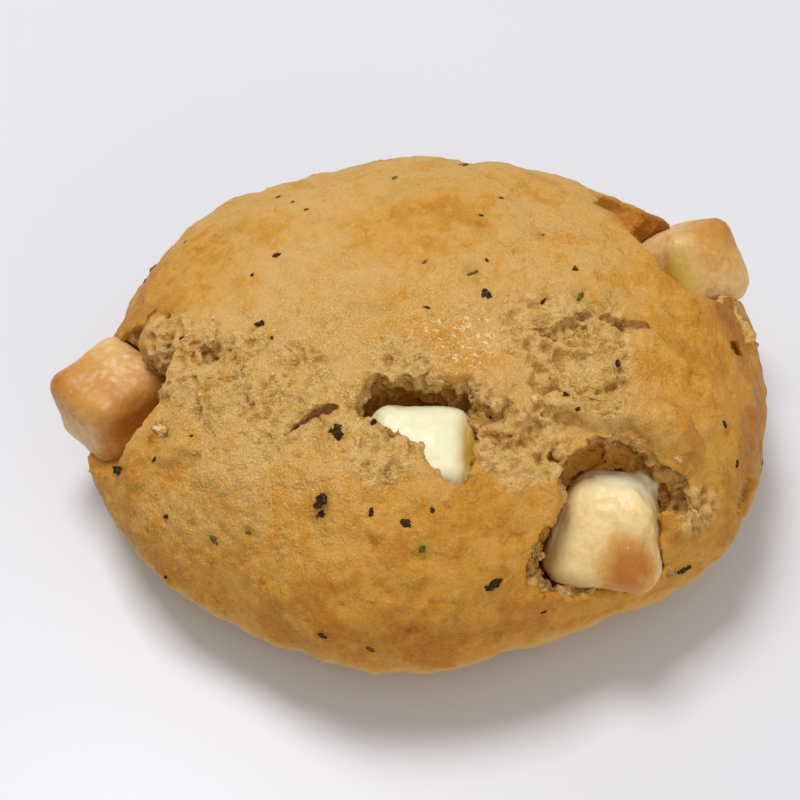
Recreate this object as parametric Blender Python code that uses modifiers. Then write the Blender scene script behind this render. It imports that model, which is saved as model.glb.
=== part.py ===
"""A cheese and herb scone: an oval of browned, torn dough that holds four cubes of baked cheese.

Lengths are in metres and +Z is up. The scone stands on the plane z = 0, with the middle of its
bounding box over the origin. A place on the crust is an azimuth, in degrees counter-clockwise
from +X, and a rise, in degrees from the widest ring of the dough (0) to its top (90). A place
inside the dough is in millimetres from the foot of its centre line.
"""
import math
from collections import namedtuple

import bmesh
import bpy
import numpy as np
from mathutils import Euler, Matrix, Vector, noise
from mathutils.bvhtree import BVHTree

MM = 0.001

# The whole form of the dough, before it tore.
LENGTH = 95.5 * MM
DEPTH = 83.0 * MM
HEIGHT = 36.0 * MM
BELLY_HEIGHT = 12.0 * MM
CENTRE = Vector((2.0, 0.55, 0.0)) * MM
DOME_FULLNESS = 0.8
BASE_FULLNESS = 0.35
UNDERCUT = 1.35
BASE_TRIM = 1.2 * MM

# Waves that make the oval uneven: how many go round, share of the radius, azimuth of a crest.
OUTLINE_WAVES = ((2, 0.015, 55.0), (3, 0.020, 12.0), (4, 0.007, 43.0), (6, 0.017, 25.0))

# Broad swells of the crust, and dents with a negative height.
Swell = namedtuple("Swell", "azimuth rise radius height")
SWELLS = (
    Swell(345, 38, 15 * MM, 1.3 * MM),
    Swell(12, 44, 9 * MM, 1.2 * MM),
    Swell(262, 42, 16 * MM, 0.9 * MM),
    Swell(148, 40, 13 * MM, -0.4 * MM),
    Swell(205, 60, 10 * MM, -1.2 * MM),
    Swell(318, 60, 9 * MM, -1.3 * MM),
    Swell(95, 48, 12 * MM, 0.3 * MM),
    Swell(62, 38, 9 * MM, 0.7 * MM),
    Swell(8, 20, 7 * MM, -1.2 * MM),
    Swell(230, 22, 10 * MM, -0.7 * MM),
    Swell(190, -4, 9 * MM, 1.6 * MM),
    Swell(322, -8, 8 * MM, 1.4 * MM),
)

# Round stretches of the crust that tore open as the dough rose.
Tear = namedtuple("Tear", "azimuth rise radius")
TEARS = (
    Tear(201, 55, 9 * MM),
    Tear(222, 62, 8 * MM),
    Tear(240, 66, 5 * MM),
    Tear(252, 74, 6 * MM),
    Tear(258, 60, 6 * MM),
    Tear(283, 66, 5 * MM),
    Tear(297, 56, 7 * MM),
    Tear(333, 69, 8 * MM),
    Tear(325, 60, 5 * MM),
    Tear(187, 44, 6 * MM),
    Tear(6, 24, 4 * MM),
    Tear(322, 22, 4 * MM),
)

# Blunt ellipsoids: hollows beside the crack and the cheese, and lumps that swell out of them.
Blob = namedtuple("Blob", "name centre radii turn")
HOLLOWS = (
    Blob("cavity", (-3.0, -15.8, 29.4), (7.4, 3.1, 3.2), (15, 0, -3)),
    Blob("valley_near", (7.4, -20.2, 34.4), (4.4, 3.8, 3.8), (0, 8, -20)),
    Blob("valley_far", (13.8, -22.4, 33.4), (6.6, 3.2, 3.4), (-10, 14, -14)),
    Blob("torn_patch", (19.6, -10.9, 37.8), (8.8, 6.8, 5.4), (0, 18, -20)),
    Blob("under_lip", (23.8, -23.4, 25.2), (8.4, 4.6, 5.0), (10, 18, -6)),
    Blob("beside_front_cheese", (30.8, -24.6, 23.2), (1.8, 2.2, 3.2), (0, 0, 20)),
    Blob("gap_front_cheese", (15.0, -33.2, 23.0), (1.5, 2.4, 4.4), (0, 0, 25)),
    Blob("pocket_front_cheese", (13.8, -35.4, 21.4), (2.4, 2.2, 2.4), (0, 0, -20)),
    Blob("pit_left", (-29.4, -6.0, 31.2), (2.8, 1.4, 2.6), (0, -20, 10)),
    Blob("notch_left", (-45.4, -6.6, 25.6), (12.0, 11.0, 14.8), (0, 0, 12)),
    Blob("notch_left_low", (-44.4, -13.6, 21.5), (6.5, 5.0, 6.0), (0, 0, 0)),
    Blob("notch_back_left", (27.6, 21.3, 27.5), (5.0, 4.4, 4.0), (0, 10, 30)),
    Blob("side_hollow", (42.6, -20.0, 16.4), (3.2, 4.4, 3.0), (0, 0, -30)),
    Blob("opening_corner", (0.4, -25.2, 33.0), (1.7, 2.0, 4.0), (0, 0, 20)),
)
LUMPS = (
    Blob("lump_left", (-35.6, -0.4, 23.4), (3.6, 4.4, 5.0), (0, -10, 20)),
    Blob("ledge_lump", (-32.4, -20.2, 26.6), (3.0, 2.0, 1.5), (30, -35, 20)),
    Blob("lip_front", (29.0, -18.6, 29.6), (5.6, 2.8, 2.2), (18, 24, -12)),
    Blob("lip_far", (20.0, -17.4, 32.0), (6.4, 2.6, 1.6), (14, 14, -6)),
)

# The crack: its stops with their half-width and depth, and the direction in which it goes down.
Stop = namedtuple("Stop", "place width depth")
CRACK = (
    Stop((-19.4, -21.2, 31.8), 0.3, 0.8),
    Stop((-14.6, -20.2, 33.0), 0.6, 3.4),
    Stop((-10.0, -17.9, 34.0), 1.0, 5.0),
    Stop((-6.4, -17.0, 34.7), 2.0, 6.8),
    Stop((-1.4, -16.8, 35.0), 2.0, 6.8),
    Stop((2.9, -17.4, 34.7), 1.8, 6.0),
    Stop((5.4, -19.6, 33.9), 1.4, 4.5),
    Stop((8.2, -21.4, 33.0), 1.3, 3.6),
    Stop((11.2, -23.4, 31.8), 1.2, 3.4),
    Stop((14.2, -24.4, 31.0), 1.3, 3.6),
    Stop((17.4, -24.2, 30.5), 1.7, 4.6),
    Stop((20.6, -23.6, 29.9), 2.3, 6.0),
    Stop((24.2, -22.8, 29.1), 2.2, 6.0),
    Stop((27.6, -22.6, 27.9), 1.7, 5.0),
    Stop((30.6, -22.9, 26.4), 1.1, 3.2),
    Stop((33.2, -22.6, 25.0), 0.5, 1.6),
    Stop((35.2, -22.0, 23.8), 0.2, 0.6),
)
CRACK_LEAN = Vector((0.0, 0.5, -0.87))
CRACK_SIDES = 16
CRACK_RINGS_PER_STOP = 4
CRACK_END_ROUNDING = 3.0

# Square-sided windows in the crust over the cheese: centre, size and turn.
Window = namedtuple("Window", "name centre size turn")
WINDOWS = (
    Window("opening_left", (-2.1, -20.1, 33.4), (14.2, 5.4, 11.0), (8, 0, -27)),
    Window("opening_middle", (-0.1, -22.0, 32.4), (8.4, 5.0, 11.0), (8, 0, -43)),
    Window("opening_top", (0.6, -19.2, 33.4), (10.0, 3.6, 9.0), (8, 0, -3)),
    Window("opening_right", (3.1, -23.2, 32.2), (4.2, 10.8, 11.4), (10, 0, -12)),
    Window("front_opening", (22.6, -31.6, 24.6), (12.6, 12.0, 16.0), (-37, -3, -12)),
    Window("front_opening_low", (20.9, -34.5, 21.3), (15.4, 8.0, 9.0), (-37, -3, -14)),
    Window("back_opening", (37.0, 19.0, 28.2), (17.0, 14.0, 14.0), (-20, -20, 30)),
    Window("back_opening_left", (37.1, 15.0, 29.3), (14.2, 19.4, 13.0), (-58.3, -25, 35)),
    Window("back_opening_right", (42.1, 11.2, 26.2), (12.4, 19.4, 7.2), (-50.7, -4.5, 6.1)),
)
WINDOW_EDGE_RADIUS = 1.5 * MM

# The cheese cubes: centre and size in millimetres, turn about X, Y and Z in degrees, the share by
# which the lower end is wider than the upper one, the share of its height by which the upper end
# leans to the left, how far the sides bulge and are uneven, and the edge radius.
Cheese = namedtuple("Cheese", "name centre size turn flare lean bulge uneven edge seed")
CHEESES = (
    Cheese("cheese_cube_left", (-43.4, -2.8, 15.6), (12.6, 12.7, 12.0), (-1, 0, 46),
           -0.04, 0.0, 0.4 * MM, 0.40 * MM, 2.6 * MM, 3),
    Cheese("cheese_cube_centre", (-1.3, -21.4, 25.2), (13.0, 12.4, 12.0), (8, 0, 0),
           0.0, 0.0, 0.7 * MM, 0.30 * MM, 2.6 * MM, 11),
    Cheese("cheese_cube_front", (23.2, -26.1, 17.9), (12.9, 12.3, 12.8), (-37, -3, -14),
           0.42, 0.08, 0.7 * MM, 0.55 * MM, 2.8 * MM, 23),
    Cheese("cheese_cube_back", (38.3, 19.6, 18.7), (12.2, 12.0, 12.0), (-46.7, 8.9, 33.5),
           0.0, 0.0, 0.7 * MM, 0.55 * MM, 2.4 * MM, 37),
)
CHEESE_WAVE = 7.0 * MM
CHEESE_SEGMENTS = 6
CLEARANCE = 0.35 * MM

# Herb flecks baked into the crust: the largest by hand, the rest by a seeded rule.
Fleck = namedtuple("Fleck", "azimuth rise length heading")
LARGE_FLECKS = (
    Fleck(160, 67, 1.7 * MM, 60),
    Fleck(348, 84, 1.8 * MM, 20),
    Fleck(191, 66, 2.2 * MM, 80),
    Fleck(242, 60, 2.4 * MM, 10),
    Fleck(205, 21, 2.4 * MM, 30),
    Fleck(246, 45, 2.4 * MM, 75),
    Fleck(265, 44, 2.0 * MM, 330),
    Fleck(281, 26, 2.4 * MM, 30),
    Fleck(228, 24, 2.0 * MM, 340),
    Fleck(317, 6, 2.2 * MM, 10),
    Fleck(12, 71, 1.8 * MM, 350),
    Fleck(338, 34, 1.5 * MM, 0),
)
SMALL_FLECK_COUNT = 16
SMALL_FLECK_LENGTHS = (1.1 * MM, 1.7 * MM)
FLECK_WIDTH_SHARE = 0.6
FLECK_THICKNESS = 0.7 * MM
FLECK_SEED = 5

# Fineness of the dough's mesh, and the relief of its crust and crumb.
CAGE_CUTS = 39
GRAIN = 0.8 * MM
DOUGH_TRIANGLES = 8800
CRUST_LUMP = (11.0 * MM, 0.80 * MM)
CRUST_OCTAVES = 3
CRUMB_LUMP = (3.6 * MM, 1.2 * MM)
NOISE_SEED = 7
TEAR_FADE = 1.4

DOUGH_COLOUR = (0.63, 0.36, 0.11, 1.0)
CHEESE_COLOUR = (0.83, 0.62, 0.30, 1.0)


def clear_scene():
    """Remove whatever the file holds, so that only the scone is in it."""
    for item in list(bpy.data.objects):
        bpy.data.objects.remove(item, do_unlink=True)


def new_collection(name):
    """Make a collection in the scene."""
    collection = bpy.data.collections.new(name)
    bpy.context.scene.collection.children.link(collection)
    return collection


def new_material(name, colour, roughness):
    """Make a plain Principled material."""
    material = bpy.data.materials.new(name)
    material.use_nodes = True
    shader = material.node_tree.nodes["Principled BSDF"]
    shader.inputs["Base Color"].default_value = colour
    shader.inputs["Roughness"].default_value = roughness
    shader.inputs["Metallic"].default_value = 0.0
    return material


def object_from_bmesh(name, shape, collection):
    """Turn a bmesh into a named object of a collection."""
    mesh = bpy.data.meshes.new(name)
    shape.to_mesh(mesh)
    shape.free()
    item = bpy.data.objects.new(name, mesh)
    collection.objects.link(item)
    return item


def mark_as_cutter(item):
    """Show an object as a wire guide that is not part of the scone."""
    item.display_type = "WIRE"
    item.hide_render = True


def apply_modifiers(item):
    """Put an object's evaluated mesh in the place of its own mesh and its modifiers."""
    bpy.context.view_layer.update()
    evaluated = item.evaluated_get(bpy.context.evaluated_depsgraph_get())
    mesh = bpy.data.meshes.new_from_object(evaluated)
    item.modifiers.clear()
    item.data = mesh


def turn_matrix(turn):
    """Rotation from angles in degrees about X, then Y, then Z."""
    return Euler([math.radians(angle) for angle in turn], "XYZ").to_matrix().to_4x4()


def placement(centre, turn):
    """Placement of a piece whose centre is in millimetres from the foot of the centre line."""
    return Matrix.Translation(CENTRE + Vector(centre) * MM) @ turn_matrix(turn)


def outline_radius(azimuth):
    """Plan radius of the widest ring at azimuths in radians."""
    oval = 1.0 / np.hypot(2.0 * np.cos(azimuth) / LENGTH, 2.0 * np.sin(azimuth) / DEPTH)
    wave = sum(
        share * np.cos(count * (azimuth - math.radians(crest)))
        for count, share, crest in OUTLINE_WAVES
    )
    return oval * (1.0 + wave)


def whole_crust(azimuth, rise):
    """Points of the even, untorn crust at azimuths and rises in radians."""
    above = rise > 0.0
    lean = np.clip(np.cos(rise), 0.0, 1.0)
    climb = np.abs(np.sin(rise))
    spread = np.where(above, lean ** DOME_FULLNESS, lean ** BASE_FULLNESS)
    dome = BELLY_HEIGHT + (HEIGHT - BELLY_HEIGHT) * climb
    base = BELLY_HEIGHT - (BELLY_HEIGHT + BASE_TRIM) * climb ** UNDERCUT
    radius = outline_radius(azimuth) * spread
    return np.stack([
        CENTRE.x + radius * np.cos(azimuth),
        CENTRE.y + radius * np.sin(azimuth),
        np.where(above, dome, base),
    ], axis=-1)


def crust_place(azimuth, rise):
    """Point of the untorn crust at an azimuth and a rise in degrees, and its way out."""
    point = Vector(whole_crust(np.radians(azimuth), np.radians(rise)))
    way_out = (point - CENTRE - Vector((0.0, 0.0, BELLY_HEIGHT / 2))).normalized()
    return point, way_out


def swell_crust(points):
    """Move points of the crust by the broad swells and dents."""
    for swell in SWELLS:
        middle, way_out = crust_place(swell.azimuth, swell.rise)
        distance = np.linalg.norm(points - np.array(middle), axis=1)
        weight = np.exp(-((distance / swell.radius) ** 2))
        points = points + weight[:, None] * np.array(way_out) * swell.height
    return points


def mesh_points(mesh):
    """A mesh's vertices as an array of points."""
    points = np.empty(len(mesh.vertices) * 3)
    mesh.vertices.foreach_get("co", points)
    return points.reshape(-1, 3)


def move_points(mesh, points):
    """Give a mesh's vertices new places."""
    mesh.vertices.foreach_set("co", points.ravel())
    mesh.update()


def whole_dough(collection):
    """The dough before it tore: a finely divided cube, blown up to the crust's form."""
    shape = bmesh.new()
    bmesh.ops.create_cube(shape, size=2.0)
    bmesh.ops.subdivide_edges(shape, edges=shape.edges[:], cuts=CAGE_CUTS, use_grid_fill=True)
    dough = object_from_bmesh("scone_dough", shape, collection)
    way = mesh_points(dough.data)
    way = np.tan(way * (math.pi / 4))
    way /= np.linalg.norm(way, axis=1)[:, None]
    azimuth = np.arctan2(way[:, 1], way[:, 0])
    rise = np.arcsin(np.clip(way[:, 2], -1.0, 1.0))
    move_points(dough.data, swell_crust(whole_crust(azimuth, rise)))
    return dough


def blob_object(blob, collection):
    """A blunt ellipsoid at its place in the dough."""
    shape = bmesh.new()
    bmesh.ops.create_icosphere(shape, subdivisions=3, radius=MM)
    shape.transform(placement(blob.centre, blob.turn) @ Matrix.Diagonal((*blob.radii, 1.0)))
    return object_from_bmesh(blob.name, shape, collection)


def crack_object(collection):
    """A cutter along the crack: a sphere stretched so that its poles are the crack's ends."""
    places = np.array([stop.place for stop in CRACK]) * MM + np.array(CENTRE)
    sizes = np.array([(stop.width, stop.depth) for stop in CRACK]) * MM
    stops = np.arange(len(CRACK))
    lean = CRACK_LEAN.normalized()
    shape = bmesh.new()
    bmesh.ops.create_uvsphere(
        shape, u_segments=CRACK_SIDES, v_segments=CRACK_RINGS_PER_STOP * len(CRACK), radius=1.0
    )
    for vertex in shape.verts:
        share = math.acos(max(-1.0, min(1.0, vertex.co.z))) / math.pi * stops[-1]
        around = math.atan2(vertex.co.y, vertex.co.x)
        open_share = min(1.0, CRACK_END_ROUNDING * math.hypot(vertex.co.x, vertex.co.y))
        place = Vector(np.interp(share, stops, axis) for axis in places.T)
        width, depth = (np.interp(share, stops, size) * open_share for size in sizes.T)
        ahead = min(share + 1.0, stops[-1])
        behind = max(share - 1.0, 0.0)
        along = Vector(
            np.interp(ahead, stops, axis) - np.interp(behind, stops, axis) for axis in places.T
        )
        across = lean.cross(along).normalized()
        place += across * math.cos(around) * width + lean * math.sin(around) * depth
        vertex.co = place
    bmesh.ops.recalc_face_normals(shape, faces=shape.faces[:])
    return object_from_bmesh("crack", shape, collection)


def combine(item, collection, operation):
    """Cut a collection's shapes out of an object, or join them to it."""
    modifier = item.modifiers.new(collection.name, "BOOLEAN")
    modifier.operation = operation
    modifier.operand_type = "COLLECTION"
    modifier.collection = collection
    modifier.solver = "EXACT"
    modifier.use_self = True
    apply_modifiers(item)


def tear_dough(dough):
    """Open the crack and the notches, and let the lumps swell out of them."""
    hollows = new_collection("scone_hollows")
    for blob in HOLLOWS:
        mark_as_cutter(blob_object(blob, hollows))
    for window in WINDOWS:
        mark_as_cutter(window_object(window, hollows))
    mark_as_cutter(crack_object(hollows))
    combine(dough, hollows, "DIFFERENCE")
    lumps = new_collection("scone_lumps")
    for blob in LUMPS:
        mark_as_cutter(blob_object(blob, lumps))
    combine(dough, lumps, "UNION")


def even_mesh(item, grain):
    """Rebuild an object's skin from even faces of one size."""
    modifier = item.modifiers.new("even_faces", "REMESH")
    modifier.mode = "VOXEL"
    modifier.voxel_size = grain
    apply_modifiers(item)


def torn_shares(points):
    """How much of the crumb shows at each point: 0 on whole crust and 1 in the tears."""
    shares = np.zeros(len(points))
    for tear in TEARS:
        middle, _ = crust_place(tear.azimuth, tear.rise)
        distance = np.linalg.norm(points - np.array(middle), axis=1)
        shares = np.maximum(shares, TEAR_FADE - distance / tear.radius)
    return np.clip(shares, 0.0, 1.0)


def roughen_dough(dough):
    """Raise slow lumps all over the crust, and crags where it tore."""
    crust_wave, crust_height = CRUST_LUMP
    crumb_wave, crumb_height = CRUMB_LUMP
    noise.seed_set(NOISE_SEED)
    shares = torn_shares(mesh_points(dough.data))
    for vertex, torn in zip(dough.data.vertices, shares):
        point = vertex.co.copy()
        lump = noise.fractal(point / crust_wave, 1.0, 2.0, CRUST_OCTAVES) * crust_height
        crag = noise.noise_vector(point / crumb_wave) * (crumb_height * torn)
        vertex.co = point + vertex.normal * lump + crag
    dough.data.update()


def thin_mesh(item, triangles):
    """Keep about so many triangles, most of them where the form is sharpest."""
    item.data.calc_loop_triangles()
    modifier = item.modifiers.new("fewer_faces", "DECIMATE")
    modifier.ratio = triangles / len(item.data.loop_triangles)
    apply_modifiers(item)


def round_block(size, radius, segments, puff):
    """A block about the origin with round edges; puff(grid, spot) moves its faces outwards."""
    shape = bmesh.new()
    bmesh.ops.create_cube(shape, size=2.0)
    bmesh.ops.subdivide_edges(
        shape, edges=shape.edges[:], cuts=segments - 1, use_grid_fill=True
    )
    half = Vector(size) * MM / 2
    inner = half - Vector((1.0, 1.0, 1.0)) * radius
    for vertex in shape.verts:
        grid = vertex.co.copy()
        spot = Vector(grid[i] * half[i] for i in range(3))
        core = Vector(min(max(spot[i], -inner[i]), inner[i]) for i in range(3))
        vertex.co = core + (spot - core).normalized() * (radius + puff(grid, spot))
    return shape


def cheese_shape(cheese, grow):
    """A cube of cheese with round edges and full, uneven sides, grown by a distance."""
    shift = Vector((cheese.seed, 0.0, 0.0))

    def puff(grid, spot):
        second_largest = sorted(abs(value) for value in grid)[1]
        fullness = (1.0 - second_largest ** 2) ** 2 * cheese.bulge
        return fullness + noise.noise(spot / CHEESE_WAVE + shift) * cheese.uneven + grow

    shape = round_block(cheese.size, cheese.edge, CHEESE_SEGMENTS, puff)
    for vertex in shape.verts:
        widening = 1.0 - cheese.flare * vertex.co.z / (cheese.size[2] * MM)
        vertex.co.x *= widening
        vertex.co.y *= widening
        vertex.co.x -= cheese.lean * (vertex.co.z + cheese.size[2] * MM / 2)
    shape.transform(placement(cheese.centre, cheese.turn))
    return shape


def window_object(window, collection):
    """A square-sided cutter that opens the crust over a cube of cheese."""
    shape = round_block(window.size, WINDOW_EDGE_RADIUS, CHEESE_SEGMENTS, lambda grid, spot: 0.0)
    shape.transform(placement(window.centre, window.turn))
    return object_from_bmesh(window.name, shape, collection)


def build_cheeses(collection):
    """The four cubes of cheese."""
    for cheese in CHEESES:
        cube = object_from_bmesh(cheese.name, cheese_shape(cheese, 0.0), collection)
        cube.data.materials.append(new_material(cheese.name, CHEESE_COLOUR, 0.5))
        cube.data.shade_smooth()


def seat_dough(dough):
    """Cut the flat base, and the room that the dough leaves round each cube."""
    seats = new_collection("scone_seats")
    for cheese in CHEESES:
        seat = object_from_bmesh(cheese.name + "_seat", cheese_shape(cheese, CLEARANCE), seats)
        mark_as_cutter(seat)
    shape = bmesh.new()
    bmesh.ops.create_cube(shape, size=1.0)
    shape.transform(Matrix.Diagonal((2 * LENGTH, 2 * LENGTH, HEIGHT, 1.0)))
    shape.transform(Matrix.Translation((0.0, 0.0, -HEIGHT / 2)))
    mark_as_cutter(object_from_bmesh("base_plane", shape, seats))
    combine(dough, seats, "DIFFERENCE")


def neighbours(face):
    """The faces that meet a face along an edge that only the two of them share."""
    return [
        other
        for edge in face.edges if len(edge.link_faces) == 2
        for other in edge.link_faces if other is not face
    ]


def keep_largest_part(item):
    """Drop loose scraps and folded slivers, and keep the largest connected skin of a mesh."""
    shape = bmesh.new()
    shape.from_mesh(item.data)
    waiting = set(shape.faces)
    parts = []
    while waiting:
        part = set()
        front = [waiting.pop()]
        while front:
            face = front.pop()
            part.add(face)
            for other in neighbours(face):
                if other in waiting:
                    waiting.remove(other)
                    front.append(other)
        parts.append(part)
    parts.sort(key=len)
    scraps = [face for part in parts[:-1] for face in part]
    bmesh.ops.delete(shape, geom=scraps, context="FACES")
    bare = [vertex for vertex in shape.verts if not vertex.link_faces]
    bmesh.ops.delete(shape, geom=bare, context="VERTS")
    shape.to_mesh(item.data)
    shape.free()


def fleck_places():
    """The hand-placed flecks, and small ones spread over the dome by a seeded rule."""
    draw = np.random.default_rng(FLECK_SEED)
    flecks = list(LARGE_FLECKS)
    golden_turn = 180.0 * (3.0 - math.sqrt(5.0))
    for index in range(SMALL_FLECK_COUNT):
        azimuth = (index * golden_turn + draw.uniform(-12, 12)) % 360
        rise = 8.0 + 68.0 * (index + 0.5) / SMALL_FLECK_COUNT
        length = draw.uniform(*SMALL_FLECK_LENGTHS)
        flecks.append(Fleck(azimuth, rise, length, draw.uniform(0, 360)))
    return flecks


def near_cheese(point):
    """Whether a point is so close to a cube of cheese that a fleck would touch it."""
    for cheese in CHEESES:
        reach = Vector(cheese.size).length / 2 * MM
        if (point - CENTRE - Vector(cheese.centre) * MM).length < reach:
            return True
    return False


def add_flecks(dough):
    """Fuse flat flecks of herb to the crust, each lying on the crust where it is."""
    toppings = new_collection("scone_flecks")
    skin = BVHTree.FromObject(dough, bpy.context.evaluated_depsgraph_get())
    for fleck in fleck_places():
        crust, way_out = crust_place(fleck.azimuth, fleck.rise)
        point, normal, _, _ = skin.ray_cast(crust + way_out * HEIGHT, -way_out)
        if point is None or near_cheese(point) or point.z < BELLY_HEIGHT / 2:
            continue
        lie = normal.to_track_quat("Z", "Y").to_matrix().to_4x4()
        spin = Matrix.Rotation(math.radians(fleck.heading), 4, "Z")
        half = (fleck.length / 2, fleck.length * FLECK_WIDTH_SHARE / 2, FLECK_THICKNESS / 2)
        shape = bmesh.new()
        bmesh.ops.create_icosphere(shape, subdivisions=1, radius=1.0)
        shape.transform(Matrix.Translation(point) @ lie @ spin @ Matrix.Diagonal((*half, 1.0)))
        object_from_bmesh("fleck", shape, toppings)
    combine(dough, toppings, "UNION")
    for item in list(toppings.objects):
        bpy.data.objects.remove(item, do_unlink=True)


def build_dough(collection):
    """The dough, from its whole form to the torn one with its herbs."""
    dough = whole_dough(collection)
    tear_dough(dough)
    even_mesh(dough, GRAIN)
    roughen_dough(dough)
    thin_mesh(dough, DOUGH_TRIANGLES)
    seat_dough(dough)
    add_flecks(dough)
    keep_largest_part(dough)
    dough.data.materials.clear()
    dough.data.materials.append(new_material("scone_dough", DOUGH_COLOUR, 0.65))
    dough.data.shade_smooth()


def build_scone():
    """Build every piece of the scone."""
    clear_scene()
    scone = new_collection("scone")
    build_cheeses(scone)
    build_dough(scone)


build_scone()
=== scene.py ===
"""Looks of a cheese and herb scone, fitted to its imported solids.

The torn, browned dough, the four cubes of baked cheese, the herb flecks and the loose crumbs
are modelled here at full fineness in the frame of the solids: metres, +Z up. A place on the
crust is an azimuth, in degrees counter-clockwise from +X, and a rise, in degrees from the
widest ring of the dough (0) to its top (90).
"""

import logging
import math
from dataclasses import dataclass
from enum import Enum
from typing import Callable, Sequence

import bmesh
import bpy
import numpy as np
from mathutils import Euler, Matrix, Vector, noise
from mathutils.bvhtree import BVHTree


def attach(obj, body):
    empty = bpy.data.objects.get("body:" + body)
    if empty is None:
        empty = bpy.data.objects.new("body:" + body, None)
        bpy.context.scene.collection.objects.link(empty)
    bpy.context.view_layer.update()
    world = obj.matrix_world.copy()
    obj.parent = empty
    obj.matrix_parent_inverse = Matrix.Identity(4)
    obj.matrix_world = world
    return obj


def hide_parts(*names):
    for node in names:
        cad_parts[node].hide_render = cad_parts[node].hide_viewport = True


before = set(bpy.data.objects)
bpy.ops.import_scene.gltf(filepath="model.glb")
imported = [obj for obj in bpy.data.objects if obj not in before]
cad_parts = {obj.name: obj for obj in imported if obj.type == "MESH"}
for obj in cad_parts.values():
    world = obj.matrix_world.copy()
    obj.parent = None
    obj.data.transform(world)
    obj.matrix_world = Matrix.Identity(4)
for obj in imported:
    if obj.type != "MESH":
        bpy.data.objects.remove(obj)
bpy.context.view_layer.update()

LOG = logging.getLogger("scone")
MM = 0.001
BODY = "root"
PROBE_REACH = 10.0 * MM
NOISE_SEED = 7
Triple = tuple[float, float, float]


def srgb(red: int, green: int, blue: int) -> tuple[float, float, float, float]:
    """Linear colour of three display values from 0 to 255."""
    def linear(value: int) -> float:
        share = value / 255.0
        return share / 12.92 if share <= 0.04045 else ((share + 0.055) / 1.055) ** 2.4

    return (linear(red), linear(green), linear(blue), 1.0)


def rows(kind: type, table: Sequence[tuple]) -> tuple:
    """One record of a kind for each row of a table."""
    return tuple(kind(*row) for row in table)


# ---------------------------------------------------------------------------------------------
# Materials
# ---------------------------------------------------------------------------------------------


class Value:
    """A number that a material works out at each point; its operators add Math nodes."""

    def __init__(self, wiring: "Wiring", socket: bpy.types.NodeSocket) -> None:
        """Wrap an output socket.

        Args:
            wiring: The material's wiring, which makes the nodes.
            socket: The output that carries the number.
        """
        self.wiring = wiring
        self.socket = socket

    def _math(self, operation: str, first: object, second: object) -> "Value":
        """Add a Math node on two numbers and wrap what it gives."""
        node = self.wiring.node("ShaderNodeMath", {"operation": operation}, {0: first, 1: second})
        return Value(self.wiring, node.outputs[0])

    def __add__(self, other: "Value | float") -> "Value":
        """Sum."""
        return self._math("ADD", self, other)

    def __radd__(self, other: float) -> "Value":
        """Sum with a plain number on the left."""
        return self._math("ADD", other, self)

    def __sub__(self, other: "Value | float") -> "Value":
        """Difference."""
        return self._math("SUBTRACT", self, other)

    def __rsub__(self, other: float) -> "Value":
        """Difference from a plain number on the left."""
        return self._math("SUBTRACT", other, self)

    def __mul__(self, other: "Value | float") -> "Value":
        """Product."""
        return self._math("MULTIPLY", self, other)

    def __rmul__(self, other: float) -> "Value":
        """Product with a plain number on the left."""
        return self._math("MULTIPLY", other, self)


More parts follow.
